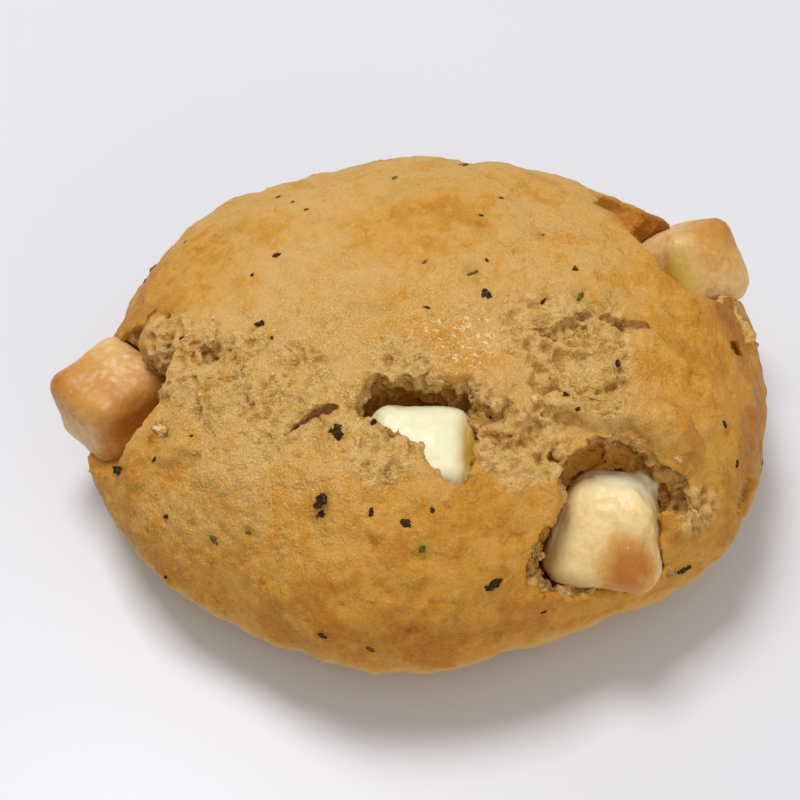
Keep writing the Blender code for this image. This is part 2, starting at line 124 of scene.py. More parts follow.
class Wiring:
    """The nodes of one material."""

    def __init__(self, name: str) -> None:
        """Start a material that holds a Principled shader and its output.

        Args:
            name: The material's name.
        """
        self.material = bpy.data.materials.new(name)
        self.material.use_nodes = True
        self.nodes = self.material.node_tree.nodes
        self.links = self.material.node_tree.links
        self.shader = self.nodes["Principled BSDF"]
        self.place = self.node("ShaderNodeTexCoord").outputs["Object"]

    def node(
        self,
        kind: str,
        settings: dict[str, object] | None = None,
        sockets: dict[str | int, object] | None = None,
    ) -> bpy.types.Node:
        """Add a node.

        Args:
            kind: The node's type.
            settings: Its own properties, set before its sockets; stops are a ramp's colours.
            sockets: Values or links of its inputs, by name or index.

        Returns:
            The node.
        """
        node = self.nodes.new(kind)
        for key, value in (settings or {}).items():
            if key == "stops":
                for index, (position, colour) in enumerate(value):
                    stops = node.color_ramp.elements
                    stop = stops[index] if index < 2 else stops.new(position)
                    stop.position, stop.color = position, colour
            else:
                setattr(node, key, value)
        for key, value in (sockets or {}).items():
            self.feed(node.inputs[key], value)
        return node

    def feed(self, socket: bpy.types.NodeSocket, value: object) -> None:
        """Link a socket to a value or an output, or set it to a plain number or colour."""
        if isinstance(value, Value):
            self.links.new(value.socket, socket)
        elif isinstance(value, bpy.types.NodeSocket):
            self.links.new(value, socket)
        else:
            socket.default_value = value

    def field(self, name: str) -> Value:
        """Number that the mesh carries at its points under a name."""
        node = self.node("ShaderNodeAttribute", {"attribute_name": name})
        return Value(self, node.outputs["Fac"])

    def cloud(self, size: float, detail: float = 3.0, roughness: float = 0.55) -> Value:
        """Soft noise from 0 to 1 whose blotches have a size in metres."""
        node = self.node(
            "ShaderNodeTexNoise",
            {"noise_dimensions": "3D"},
            {"Vector": self.place, "Scale": 1.0 / size, "Detail": detail, "Roughness": roughness},
        )
        return Value(self, node.outputs["Fac"])

    def cells(self, size: float) -> Value:
        """Distance to the nearest of scattered points that lie about a size in metres apart."""
        node = self.node(
            "ShaderNodeTexVoronoi",
            {"feature": "F1"},
            {"Vector": self.place, "Scale": 1.0 / size, "Randomness": 1.0},
        )
        return Value(self, node.outputs["Distance"])

    def step(self, value: Value, low: float, high: float) -> Value:
        """Smooth rise from 0 where a value is low to 1 where it is high, or a smooth fall."""
        turned = low > high
        node = self.node(
            "ShaderNodeMapRange",
            {"interpolation_type": "SMOOTHSTEP"},
            {"Value": value, "From Min": min(low, high), "From Max": max(low, high)},
        )
        rise = Value(self, node.outputs["Result"])
        return 1.0 - rise if turned else rise

    def blend(self, share: Value | float, first: object, second: object) -> bpy.types.NodeSocket:
        """Colour that goes from the first to the second as a share goes from 0 to 1."""
        node = self.node(
            "ShaderNodeMix", {"data_type": "RGBA", "clamp_factor": True},
            {"Factor": share},
        )
        self.feed(node.inputs[6], first)
        self.feed(node.inputs[7], second)
        return node.outputs[2]

    def ramp(self, value: Value, stops: Sequence[tuple]) -> bpy.types.NodeSocket:
        """Colour read from a row of stops."""
        node = self.node("ShaderNodeValToRGB", {"stops": stops}, {"Fac": value})
        return node.outputs["Color"]

    def relief(self, height: Value, depth: float, strength: float) -> bpy.types.NodeSocket:
        """Normal of a fine relief whose height from 0 to 1 stands for a depth in metres."""
        node = self.node(
            "ShaderNodeBump", None,
            {"Height": height, "Distance": depth, "Strength": strength},
        )
        return node.outputs["Normal"]

    def finish(self, **sockets: object) -> bpy.types.Material:
        """Feed the Principled shader's sockets, named with _ for a space, and give the material."""
        for key, value in sockets.items():
            self.feed(self.shader.inputs[key.replace("_", " ")], value)
        return self.material


@dataclass(frozen=True)
class DoughFinish:
    """Baked dough: mottled golden crust and pale torn crumb, with warm dark painted shade in the
    hollows, painted shade in pits, pores and dents, and painted glints.
    """

    pale: tuple = srgb(206, 164, 96)
    gold: tuple = srgb(200, 143, 48)
    brown: tuple = srgb(178, 112, 16)
    deep: tuple = srgb(150, 82, 10)
    crumb: tuple = srgb(215, 174, 106)
    crumb_tan: tuple = srgb(194, 146, 56)
    # Painted shade: warm dark colour laid on the dough by its depth below the crust, for the shade
    # deep in the hollows.
    hollow: tuple = srgb(188, 124, 24)
    # Painted shade in the pits of the torn crumb.
    pit_shade: tuple = srgb(164, 108, 38)
    light_grain: tuple = srgb(238, 204, 138)
    dark_grain: tuple = srgb(166, 106, 28)
    herb_stain: tuple = srgb(152, 124, 30)
    blotch: float = 9.0 * MM
    patch: float = 4.5 * MM
    speck: float = 1.4 * MM
    pore: float = 1.3 * MM
    grain: float = 0.40 * MM
    sand: float = 0.52 * MM
    grit: float = 0.24 * MM
    sparkle: float = 0.60 * MM
    crystal: float = 0.9 * MM
    vein: float = 1.6 * MM
    pore_patch: float = 3.0 * MM
    olive_patch: float = 6.0 * MM
    glint_patch: float = 2.2 * MM
    relief: float = 0.46 * MM
    relief_strength: float = 0.95
    golden_edge: tuple = (0.42, 0.66)
    hollow_shade_depths: tuple = (1.5, 6.5)
    toast_weights: tuple = (0.20, 0.34, 0.46)
    toast_shift: float = -0.06
    toast_stops: tuple = (0.15, 0.50, 0.85, 1.0)
    olive: tuple = srgb(172, 138, 52)
    # Painted highlight: colour of the glints and sheen streaks laid into the base colour.
    painted_sparkle_colour: tuple = srgb(252, 232, 186)

    def material(self) -> bpy.types.Material:
        """Material of the dough."""
        w = Wiring("baked_dough")
        torn, depth = w.field("torn"), w.field("depth")
        bake, stain = w.field("bake"), w.field("stain")
        grain_and_glint, painted_sheen, sunk = w.field("grain_and_glint"), w.field("painted_sheen"), w.field("sunk")
        blotch = w.cloud(self.blotch, 3.0, 0.55)
        patch = w.cloud(self.patch, 4.0, 0.62)
        speck = w.cloud(self.speck, 4.0, 0.65)
        grain = w.cloud(self.grain, 2.0, 0.55)
        uneven = patch + (blotch - 0.5) * 0.6 + (bake - 0.5) * 0.5 + (speck - 0.5) * 0.35
        golden = w.step(uneven, *self.golden_edge)
        by_golden, by_blotch, by_speck = self.toast_weights
        toast = bake + golden * by_golden + (blotch - 0.5) * by_blotch + (speck - 0.5) * by_speck
        browns = (self.pale, self.gold, self.brown, self.deep)
        crust = w.ramp(toast + self.toast_shift, list(zip(self.toast_stops, browns)))
        crumb = w.blend(w.step(speck * 0.7 + patch * 0.3, 0.44, 0.58), self.crumb, self.crumb_tan)
        pores = w.cells(self.pore)
        pore_room = w.step(w.cloud(self.pore_patch, 2.0), 0.52, 0.64)
        pore = w.step(pores, 0.30, 0.10) * pore_room
        colour = w.blend(w.step(torn, 0.2, 0.8), crust, crumb)
        sand = w.step(w.cells(self.sand), 0.62, 0.10)
        grit = w.cloud(self.grit, 2.0, 0.6)
        # Glint spots: painted highlights in the colour, and lower roughness.
        glint_room = w.step(w.cloud(self.glint_patch, 3.0), 0.46, 0.62)
        glint = w.step(w.cells(self.sparkle), 0.24, 0.10) * glint_room
        # Painted sheen: bright streaks where the glazed crust catches the light.
        vein = w.cloud(self.vein, 4.0, 0.6) - 0.5
        painted_sheen_streak = w.step(vein * vein, 0.0012, 0.0001) * w.step(speck, 0.45, 0.60) * painted_sheen
        for share, tint in (
            # Painted shade: the crust's pores are darkened brown.
            (pore * 0.45, self.brown),
            # Painted shade: the sunk pits of the torn crumb are darkened, and the crumb outside
            # them is kept pale.
            (sunk * 0.75, self.pit_shade),
            (w.step(sunk, 0.20, 0.0) * torn * 0.35, self.crumb),
            (w.step(w.cloud(self.olive_patch, 3.0), 0.54, 0.68) * 0.30, self.olive),
            (w.step(grain, 0.46, 0.30) * 0.16, self.dark_grain),
            (w.step(grit, 0.47, 0.34) * (0.14 + 0.24 * grain_and_glint), self.dark_grain),
            (w.step(grit, 0.53, 0.68) * (0.12 + 0.36 * grain_and_glint), self.light_grain),
            (sand * (0.06 + 0.14 * torn), self.light_grain),
            (w.step(stain, 0.0, 1.0) * 0.8, self.herb_stain),
            # Painted shade in the hollows, darker with depth below the crust.
            (w.step(depth, *self.hollow_shade_depths) * 0.8, self.hollow),
            # Painted highlights: glints, stronger on coarse-grained and torn places, and sheen
            # streaks.
            (glint * (0.08 + 0.40 * grain_and_glint + 0.34 * torn), self.painted_sparkle_colour),
            (painted_sheen_streak * 0.7, self.painted_sparkle_colour),
        ):
            colour = w.blend(share, colour, tint)
        glaze = w.field("glaze")
        rough = sand * 0.20 + grit * 0.40 + speck * 0.45
        coarse = 0.50 + 0.35 * grain_and_glint + 0.35 * torn
        grainy = w.cloud(self.crystal, 3.0, 0.65)
        height = rough * coarse + w.step(pores, 0.0, 0.40) * 0.3 * pore_room + grainy * 0.9 * torn
        return w.finish(
            Base_Color=colour,
            Roughness=0.64 - glint * 0.35 - grain * 0.1 - glaze * 0.25,
            Normal=w.relief(height, self.relief, self.relief_strength),
            Subsurface_Weight=0.12,
            Subsurface_Radius=(1.0, 0.5, 0.2),
            Subsurface_Scale=1.0 * MM,
            Specular_IOR_Level=0.22,
        )


@dataclass(frozen=True)
class CheeseFinish:
    """Baked cheese: ivory where it was covered, creamy outside, toasted at its corners, and waxy
    yellow that is partly melted wax and partly painted shade.
    """

    name: str
    ivory: tuple = srgb(235, 230, 193)
    cream: tuple = srgb(238, 212, 152)
    toast: tuple = srgb(206, 152, 76)
    brown: tuple = srgb(178, 108, 30)
    # Waxy yellow: partly melted wax, partly painted shade on shaded faces and rims.
    wax_and_shade: tuple = srgb(208, 172, 66)
    bubble_tint: tuple = srgb(244, 216, 160)
    blotch: float = 3.2 * MM
    speck: float = 0.8 * MM
    bubble: float = 1.7 * MM
    relief: float = 0.22 * MM

    def material(self) -> bpy.types.Material:
        """Material of one cube, which carries its own browning at its points."""
        w = Wiring(self.name)
        bake, pale = w.field("bake"), w.field("pale")
        blotch = w.cloud(self.blotch, 4.0, 0.6)
        speck = w.cloud(self.speck, 3.0, 0.6)
        toast = bake + (blotch - 0.5) * 0.5 + (speck - 0.5) * 0.18
        baked = w.ramp(toast, [
            (0.05, self.cream), (0.45, self.toast), (0.85, self.brown),
        ])
        colour = w.blend(w.step(pale, 0.1, 0.9), baked, self.ivory)
        # Waxy yellow, partly melted wax and partly painted shade.
        colour = w.blend(w.step(w.field("wax_and_shade"), 0.1, 0.9), colour, self.wax_and_shade)
        bubble = w.step(w.cells(self.bubble), 0.16, 0.05)
        colour = w.blend(bubble * 0.35, colour, self.bubble_tint)
        height = speck * 0.5 + blotch * 0.5 + bubble * 0.25
        return w.finish(
            Base_Color=colour,
            Roughness=0.42 + (speck - 0.5) * 0.3,
            Normal=w.relief(height, self.relief, 0.55),
            Subsurface_Weight=0.25,
            Subsurface_Radius=(1.0, 0.75, 0.35),
            Subsurface_Scale=1.5 * MM,
            Specular_IOR_Level=0.4,
        )


@dataclass(frozen=True)
class HerbFinish:
    """Dried herb: nearly black flakes, some of them olive or grey."""

    black: tuple = srgb(46, 32, 14)
    olive: tuple = srgb(104, 88, 26)
    grey: tuple = srgb(116, 98, 62)
    rust: tuple = srgb(104, 62, 26)
    dust: tuple = srgb(168, 146, 108)
    mottle: float = 0.45 * MM
    grit: float = 0.25 * MM
    relief: float = 0.2 * MM

    def material(self) -> bpy.types.Material:
        """Material of the flecks, which carry their own tint: 0 black, 0.5 olive, 1 grey."""
        w = Wiring("dried_herb")
        tint = w.field("tint")
        mottle = w.cloud(self.mottle, 3.0)
        grit = w.cloud(self.grit, 2.0)
        colour = w.blend(w.step(tint, 0.0, 0.5), self.black, self.olive)
        colour = w.blend(w.step(tint, 0.5, 1.0), colour, self.grey)
        colour = w.blend(w.step(mottle, 0.50, 0.66) * 0.7, colour, self.rust)
        colour = w.blend(w.step(grit, 0.60, 0.72) * 0.5, colour, self.dust)
        return w.finish(
            Base_Color=colour,
            Roughness=0.75,
            Normal=w.relief(mottle, self.relief, 0.8),
            Specular_IOR_Level=0.15,
        )


@dataclass(frozen=True)
class CrumbFinish:
    """Loose crumbs: dry, pale and rough."""

    pale: tuple = srgb(232, 200, 142)
    tan: tuple = srgb(206, 156, 80)
    mottle: float = 0.9 * MM
    relief: float = 0.2 * MM

    def material(self) -> bpy.types.Material:
        """Material of the loose crumbs."""
        w = Wiring("loose_crumb")
        mottle = w.cloud(self.mottle, 3.0)
        return w.finish(
            Base_Color=w.blend(w.step(mottle, 0.4, 0.65), self.pale, self.tan),
            Roughness=0.8 - mottle * 0.1,
            Normal=w.relief(mottle, self.relief, 0.7),
            Subsurface_Weight=0.2,
            Subsurface_Scale=1.0 * MM,
        )


# ---------------------------------------------------------------------------------------------
# Mesh tools
# ---------------------------------------------------------------------------------------------


def object_from_bmesh(name: str, shape: bmesh.types.BMesh) -> bpy.types.Object:
    """Turn a bmesh into an object of the scene, and free the bmesh.

    Args:
        name: The object's name.
        shape: The shape.

    Returns:
        The object, at the origin.
    """
    mesh = bpy.data.meshes.new(name)
    shape.to_mesh(mesh)
    shape.free()
    item = bpy.data.objects.new(name, mesh)
    bpy.context.scene.collection.objects.link(item)
    return item


def apply_modifiers(item: bpy.types.Object) -> None:
    """Put an object's evaluated mesh in the place of its own mesh and its modifiers."""
    bpy.context.view_layer.update()
    evaluated = item.evaluated_get(bpy.context.evaluated_depsgraph_get())
    mesh = bpy.data.meshes.new_from_object(evaluated)
    item.modifiers.clear()
    item.data = mesh


def mesh_points(mesh: bpy.types.Mesh) -> np.ndarray:
    """A mesh's vertices as an array of points."""
    points = np.empty(len(mesh.vertices) * 3)
    mesh.vertices.foreach_get("co", points)
    return points.reshape(-1, 3)


def mesh_normals(mesh: bpy.types.Mesh) -> np.ndarray:
    """The ways out of a mesh at its vertices."""
    normals = np.empty(len(mesh.vertices) * 3)
    mesh.vertex_normals.foreach_get("vector", normals)
    return normals.reshape(-1, 3)


def move_points(mesh: bpy.types.Mesh, points: np.ndarray) -> None:
    """Give a mesh's vertices new places."""
    mesh.vertices.foreach_set("co", points.ravel())
    mesh.update()


def carry(mesh: bpy.types.Mesh, name: str, values: np.ndarray) -> None:
    """Store a number at each vertex of a mesh under a name that a material reads."""
    attribute = mesh.attributes.new(name, "FLOAT", "POINT")
    attribute.data.foreach_set("value", np.asarray(values, dtype=np.float32))


def smooth(values: np.ndarray, low: float, high: float) -> np.ndarray:
    """Smooth rise from 0 at low to 1 at high."""
    share = np.clip((values - low) / (high - low), 0.0, 1.0)
    return share * share * (3.0 - 2.0 * share)


def lumps(points: np.ndarray, wave: float, octaves: int, shift: float = 0.0) -> np.ndarray:
    """Noise of about -1 to 1 at points.

    Args:
        points: The points.
        wave: Length of the slowest wave in metres.
        octaves: How many ever finer waves are added.
        shift: Moves the pattern, so that two patterns differ.

    Returns:
        One number for each point.
    """
    places = (points / wave + shift).tolist()
    return np.array([noise.fractal(place, 1.0, 2.0, octaves) for place in places])


def shove(points: np.ndarray, wave: float) -> np.ndarray:
    """Noise with a direction at points, for a wave of a length in metres."""
    return np.array([noise.noise_vector(place) for place in (points / wave).tolist()])


def pits(points: np.ndarray, spacing: float, radius: float, share: float) -> np.ndarray:
    """Scattered round pits at points.

    Args:
        points: The points.
        spacing: Distance between the places where a pit may be, in metres.
        radius: A pit's radius as a share of the spacing.
        share: The share of the places that have a pit.

    Returns:
        For each point, 1 in the middle of a pit and 0 outside.
    """
    depths = np.zeros(len(points))
    for index, place in enumerate((points / spacing).tolist()):
        distances, middles = noise.voronoi(place)
        if noise.cell(middles[0] * 17.0) < 2.0 * share - 1.0:
            depths[index] = 1.0 - min(distances[0] / radius, 1.0)
    return depths * depths * (3.0 - 2.0 * depths)


@dataclass(frozen=True)
class Relief:
    """Noise relief: its slowest wave in metres, height, octaves and shift of its pattern."""

    wave: float
    height: float
    octaves: int
    shift: float = 0.0

    def heights(self, points: np.ndarray) -> np.ndarray:
        """Height of the relief at points."""
        return lumps(points, self.wave, self.octaves, self.shift) * self.height


@dataclass(frozen=True)
class Pitting:
    """Scattered pits: spacing in metres, radius and count as shares of it, and depth."""

    spacing: float
    radius: float
    share: float
    depth: float = 1.0

    def depths(self, points: np.ndarray) -> np.ndarray:
        """Depth of the pits at points."""
        return pits(points, self.spacing, self.radius, self.share) * self.depth


def turn_matrix(turn: Triple) -> Matrix:
    """Rotation from angles in degrees about X, then Y, then Z."""
    return Euler([math.radians(angle) for angle in turn], "XYZ").to_matrix().to_4x4()


def round_block(
    size: Triple, radius: float, segments: int, puff: Callable[[Vector, Vector], float]
) -> bmesh.types.BMesh:
    """A block about the origin with round edges.

    Args:
        size: Its three sizes in millimetres.
        radius: Radius of its edges in metres.
        segments: Divisions along each edge.
        puff: Outward move of a point, from its place on the grid and its place on the block.

    Returns:
        The block.
    """
    shape = bmesh.new()
    bmesh.ops.create_cube(shape, size=2.0)
    bmesh.ops.subdivide_edges(
        shape, edges=shape.edges[:], cuts=segments - 1, use_grid_fill=True
    )
    half = Vector(size) * MM / 2
    inner = half - Vector((1.0, 1.0, 1.0)) * radius
    for vertex in shape.verts:
        grid = vertex.co.copy()
        spot = Vector(grid[i] * half[i] for i in range(3))
        core = Vector(min(max(spot[i], -inner[i]), inner[i]) for i in range(3))
        vertex.co = core + (spot - core).normalized() * (radius + puff(grid, spot))
    return shape


# ---------------------------------------------------------------------------------------------
# The dough
# ---------------------------------------------------------------------------------------------


@dataclass(frozen=True)
class Swell:
    """A broad swell of the crust, or a dent: place in degrees, radius and height in mm."""

    azimuth: float
    rise: float
    radius: float
    height: float


@dataclass(frozen=True)
class Tear:
    """A round stretch of the crust that tore open: place in degrees, radius in mm."""

    azimuth: float
    rise: float
    radius: float


@dataclass(frozen=True)
class Blob:
    """A blunt ellipsoid: centre and radii in millimetres, turn in degrees."""

    centre: Triple
    radii: Triple
    turn: Triple


@dataclass(frozen=True)
class Station:
    """A stop along a crack: place on the crust, half-width and depth, all in millimetres."""

    place: Triple
    width: float
    depth: float


@dataclass(frozen=True)
class Crack:
    """A crack that runs through its stops and leans inwards along a direction."""

    stops: tuple[Station, ...]
    lean: Triple = (0.0, 0.5, -0.87)


@dataclass(frozen=True)
class Window:
    """A square-sided opening in the crust: centre and size in millimetres, turn in degrees."""

    centre: Triple
    size: Triple
    turn: Triple


@dataclass(frozen=True)
class DoughForm:
    """The even form of the dough before it tore."""

    length: float = 95.5 * MM
    depth: float = 83.0 * MM
    height: float = 36.0 * MM
    belly_height: float = 12.0 * MM
    centre: Vector = Vector((2.0, 0.55, 0.0)) * MM
    dome_fullness: float = 0.8
    base_fullness: float = 0.35
    undercut: float = 1.35
    base_trim: float = 1.2 * MM
    outline_waves: tuple = (
        (2, 0.015, 55.0), (3, 0.020, 12.0), (4, 0.007, 43.0), (6, 0.017, 25.0),
    )
    swells: tuple = rows(Swell, (
        (345, 38, 15, 1.3),
        (12, 44, 9, 1.2),
        (262, 42, 16, 0.9),
        (148, 40, 13, -0.4),
        (205, 60, 10, -1.2),
        (318, 60, 9, -1.3),
        (95, 48, 12, 0.3),
        (62, 38, 9, 0.7),
        (8, 20, 7, -1.2),
        (230, 22, 10, -0.7),
        (190, -4, 9, 1.6),
        (322, -8, 8, 1.4),
    ))

    def outline_radius(self, azimuth: np.ndarray) -> np.ndarray:
        """Plan radius of the widest ring at azimuths in radians."""
        oval = 1.0 / np.hypot(
            2.0 * np.cos(azimuth) / self.length, 2.0 * np.sin(azimuth) / self.depth
        )
        wave = sum(
            share * np.cos(count * (azimuth - math.radians(crest)))
            for count, share, crest in self.outline_waves
        )
        return oval * (1.0 + wave)

    def whole_crust(self, azimuth: np.ndarray, rise: np.ndarray) -> np.ndarray:
        """Points of the even, untorn crust at azimuths and rises in radians."""
        above = rise > 0.0
        lean = np.clip(np.cos(rise), 0.0, 1.0)
        climb = np.abs(np.sin(rise))
        spread = np.where(above, lean ** self.dome_fullness, lean ** self.base_fullness)
        dome = self.belly_height + (self.height - self.belly_height) * climb
        base = self.belly_height - (self.belly_height + self.base_trim) * climb ** self.undercut
        radius = self.outline_radius(azimuth) * spread
        return np.stack([
            self.centre.x + radius * np.cos(azimuth),
            self.centre.y + radius * np.sin(azimuth),
            np.where(above, dome, base),
        ], axis=-1)

    def place(self, azimuth: float, rise: float) -> tuple[Vector, Vector]:
        """Point of the untorn crust at an azimuth and a rise in degrees, and its way out."""
        point = Vector(self.whole_crust(np.radians(azimuth), np.radians(rise)))
        heart = self.centre + Vector((0.0, 0.0, self.belly_height / 2))
        return point, (point - heart).normalized()

    def placement(self, centre: Triple, turn: Triple) -> Matrix:
        """Placement of a piece whose centre is in millimetres from the foot of the dough."""
        return Matrix.Translation(self.centre + Vector(centre) * MM) @ turn_matrix(turn)

    def swell(self, points: np.ndarray) -> np.ndarray:
        """Points of the crust, moved by the broad swells and dents."""
        for swell in self.swells:
            middle, way_out = self.place(swell.azimuth, swell.rise)
            distance = np.linalg.norm(points - np.array(middle), axis=1)
            weight = np.exp(-((distance / (swell.radius * MM)) ** 2))
            points = points + weight[:, None] * np.array(way_out) * (swell.height * MM)
        return points

    def build(self, cuts: int) -> bpy.types.Object:
        """The whole dough as a finely divided cube, blown up to the crust's form."""
        shape = bmesh.new()
        bmesh.ops.create_cube(shape, size=2.0)
        bmesh.ops.subdivide_edges(shape, edges=shape.edges[:], cuts=cuts, use_grid_fill=True)
        dough = object_from_bmesh("scone_crust_and_crumb", shape)
        way = np.tan(mesh_points(dough.data) * (math.pi / 4))
        way /= np.linalg.norm(way, axis=1)[:, None]
        azimuth = np.arctan2(way[:, 1], way[:, 0])
        rise = np.arcsin(np.clip(way[:, 2], -1.0, 1.0))
        move_points(dough.data, self.swell(self.whole_crust(azimuth, rise)))
        return dough


@dataclass(frozen=True)
class CrustSpot:
    """A soft spot of the crust: place in degrees, radius in mm, and how much it counts."""

    azimuth: float
    rise: float
    radius: float
    share: float


@dataclass
class Dough:
    """The dough with its crack, its hollows round the cheese and its torn crumb."""

    form: DoughForm
    cheeses: "list[CheeseCube]"
    hollows: tuple = rows(Blob, (
        ((-3.0, -15.8, 29.4), (7.4, 3.1, 3.2), (15, 0, -3)),
        ((7.4, -20.2, 34.4), (4.4, 3.8, 3.8), (0, 8, -20)),
        ((13.8, -22.4, 33.4), (6.6, 3.2, 3.4), (-10, 14, -14)),
        ((19.6, -10.9, 37.8), (8.8, 6.8, 5.4), (0, 18, -20)),
        ((23.8, -23.4, 25.2), (8.4, 4.6, 5.0), (10, 18, -6)),
        ((30.8, -24.6, 23.2), (1.8, 2.2, 3.2), (0, 0, 20)),
        ((15.0, -33.2, 23.0), (1.3, 2.4, 4.4), (0, 0, 25)),
        ((13.8, -35.4, 21.4), (2.4, 2.2, 2.4), (0, 0, -20)),
        ((-37.6, 3.4, 26.4), (1.3, 1.0, 1.4), (0, -40, 0)),
        ((-35.6, 1.4, 28.2), (1.4, 0.8, 1.3), (0, -40, 0)),
        ((-30.4, -5.2, 31.4), (1.9, 1.1, 1.5), (0, -20, 0)),
        ((-28.5, -6.8, 31.0), (1.7, 1.3, 3.2), (0, -20, 10)),
        ((-45.4, -6.6, 25.6), (12.0, 11.0, 14.8), (0, 0, 12)),
        ((-44.4, -13.6, 21.5), (6.5, 5.0, 6.0), (0, 0, 0)),
        ((27.6, 21.3, 27.5), (5.0, 4.4, 4.0), (0, 10, 30)),
        ((42.6, -20.0, 16.4), (3.2, 4.4, 3.0), (0, 0, -30)),
        ((41.2, -1.8, 25.2), (1.6, 1.2, 1.3), (0, 40, 0)),
        ((-30.7, -22.9, 27.0), (2.0, 1.0, 1.5), (0, -30, 30)),
        ((24.6, -9.6, 33.5), (2.0, 1.0, 0.9), (0, 10, 0)),
        ((13.8, -17.6, 33.4), (1.2, 0.9, 1.4), (0, 0, 0)),
        ((-24.7, -13.2, 32.7), (0.9, 0.7, 0.8), (0, 0, 0)),
        ((-21.1, -17.9, 32.4), (0.9, 0.5, 0.9), (0, 0, 0)),
        ((33.8, -11.2, 30.1), (1.8, 1.4, 0.9), (0, 40, 0)),
        ((0.4, -25.2, 33.0), (1.7, 2.0, 4.0), (0, 0, 20)),
    ))
    cracks: tuple = (
        Crack(rows(Station, (
            ((-19.8, -21.6, 31.6), 0.35, 0.8),
            ((-17.8, -21.1, 32.2), 0.55, 1.8),
            ((-15.8, -20.4, 32.8), 0.65, 2.6),
            ((-14.0, -19.8, 33.2), 0.9, 3.4),
            ((-12.2, -19.3, 33.6), 0.85, 3.4),
            ((-10.7, -18.9, 33.9), 0.2, 0.9),
        ))),
        Crack(rows(Station, (
            ((-11.0, -16.9, 34.2), 0.4, 1.4),
            ((-9.4, -17.1, 34.3), 1.4, 5.0),
            ((-6.4, -16.8, 34.7), 2.3, 7.0),
            ((-1.4, -16.4, 35.0), 2.5, 7.0),
            ((2.9, -17.2, 34.7), 2.0, 6.2),
            ((5.4, -19.6, 33.9), 1.4, 4.5),
            ((8.2, -21.4, 33.0), 1.3, 3.6),
            ((11.2, -23.4, 31.8), 1.2, 3.4),
            ((14.2, -24.4, 31.0), 1.3, 3.6),
            ((17.4, -24.2, 30.5), 1.7, 4.6),
            ((20.6, -23.6, 29.9), 2.3, 6.0),
            ((24.2, -22.8, 29.1), 2.2, 6.0),
            ((27.6, -22.6, 27.9), 1.7, 5.0),
            ((30.6, -22.9, 26.4), 1.1, 3.2),
            ((33.2, -22.6, 25.0), 0.5, 1.6),
            ((35.2, -22.0, 23.8), 0.2, 0.6),
        ))),
        Crack(rows(Station, (
            ((10.6, -6.4, 35.8), 0.2, 0.5),
            ((13.6, -7.6, 35.4), 0.5, 1.5),
            ((16.6, -6.6, 35.1), 0.6, 1.9),
            ((18.8, -4.8, 34.8), 0.5, 1.6),
            ((20.6, -3.2, 34.4), 0.5, 1.2),
            ((24.6, -4.7, 33.5), 0.5, 1.3),
            ((28.0, -4.2, 32.5), 0.45, 1.5),
            ((31.4, -5.0, 31.3), 0.15, 0.5),
        )), (0.0, 0.35, -0.94)),
    )
    windows: tuple = rows(Window, (
        ((-2.1, -20.1, 33.4), (14.2, 5.4, 11.0), (8, 0, -27)),
        ((-0.1, -22.0, 32.4), (8.4, 5.0, 11.0), (8, 0, -43)),
        ((0.6, -17.5, 33.8), (10.4, 6.2, 9.0), (8, 0, -3)),
        ((3.1, -23.2, 32.2), (4.2, 10.8, 11.4), (10, 0, -12)),
        ((22.1, -31.6, 24.6), (13.6, 12.0, 16.0), (-37, -3, -12)),
        ((20.9, -34.5, 21.3), (15.4, 8.0, 9.0), (-37, -3, -14)),
        ((37.0, 19.0, 28.2), (17.0, 14.0, 14.0), (-20, -20, 30)),
        ((37.1, 15.0, 29.3), (14.2, 19.4, 13.0), (-58.3, -25, 35)),
        ((42.1, 11.2, 26.2), (12.4, 19.4, 7.2), (-50.7, -4.5, 6.1)),
    ))
    swollen: tuple = rows(Blob, (
        ((-35.6, -0.4, 23.4), (3.6, 4.4, 5.0), (0, -10, 20)),
        ((29.0, -18.6, 29.6), (5.6, 2.8, 2.2), (18, 24, -12)),
        ((20.0, -17.4, 32.0), (6.4, 2.6, 1.6), (14, 14, -6)),
        ((-32.4, -20.2, 26.6), (3.0, 2.0, 1.5), (30, -35, 20)),
        ((-34.6, -16.6, 27.4), (2.6, 1.2, 0.8), (20, -30, 30)),
        ((7.6, -17.4, 33.6), (1.1, 2.0, 0.7), (30, 0, 10)),
    ))
    tears: tuple = rows(Tear, (
        (201, 55, 9),
        (222, 62, 8),
        (252, 74, 6),
        (283, 66, 5),
        (297, 56, 7),
        (258, 60, 6),
        (240, 66, 5),
        (333, 69, 10),
        (325, 60, 5),
        (187, 44, 6),
        (6, 24, 4),
        (322, 22, 4),
    ))
    toasts: tuple = rows(CrustSpot, (
        (345, 36, 17, 0.30),
        (12, 36, 9, 0.35),
        (33, 34, 9, 0.45),
        (95, 77, 8, 0.22),
        (265, 79, 7, 0.25),
        (170, 36, 12, 0.25),
        (210, 36, 6, 0.25),
        (265, 30, 20, 0.22),
        (300, 30, 10, 0.15),
        (215, 58, 16, -0.20),
        (325, 62, 14, -0.12),
    ))
    glazes: tuple = rows(CrustSpot, (
        (272, 79, 6, 0.9),
        (300, 76, 5, 0.5),
        (345, 40, 14, 0.4),
    ))
    # Spots with coarser grain, which also carry stronger painted glints.
    grain_and_glint_spots: tuple = rows(CrustSpot, (
        (277, 82, 10, 1.0),
        (200, 79, 8, 0.6),
        (207, 62, 10, 0.9),
        (219, 54, 9, 0.9),
        (331, 61, 10, 0.9),
        (23, 72, 10, 0.45),
        (219, 19, 12, 0.6),
        (250, 60, 9, 0.6),
        (240, 46, 9, 0.5),
    ))
    # Places of the painted sheen streaks.
    painted_sheen_spots: tuple = (CrustSpot(283, 80, 6, 1.0), CrustSpot(308, 80, 4, 0.8))
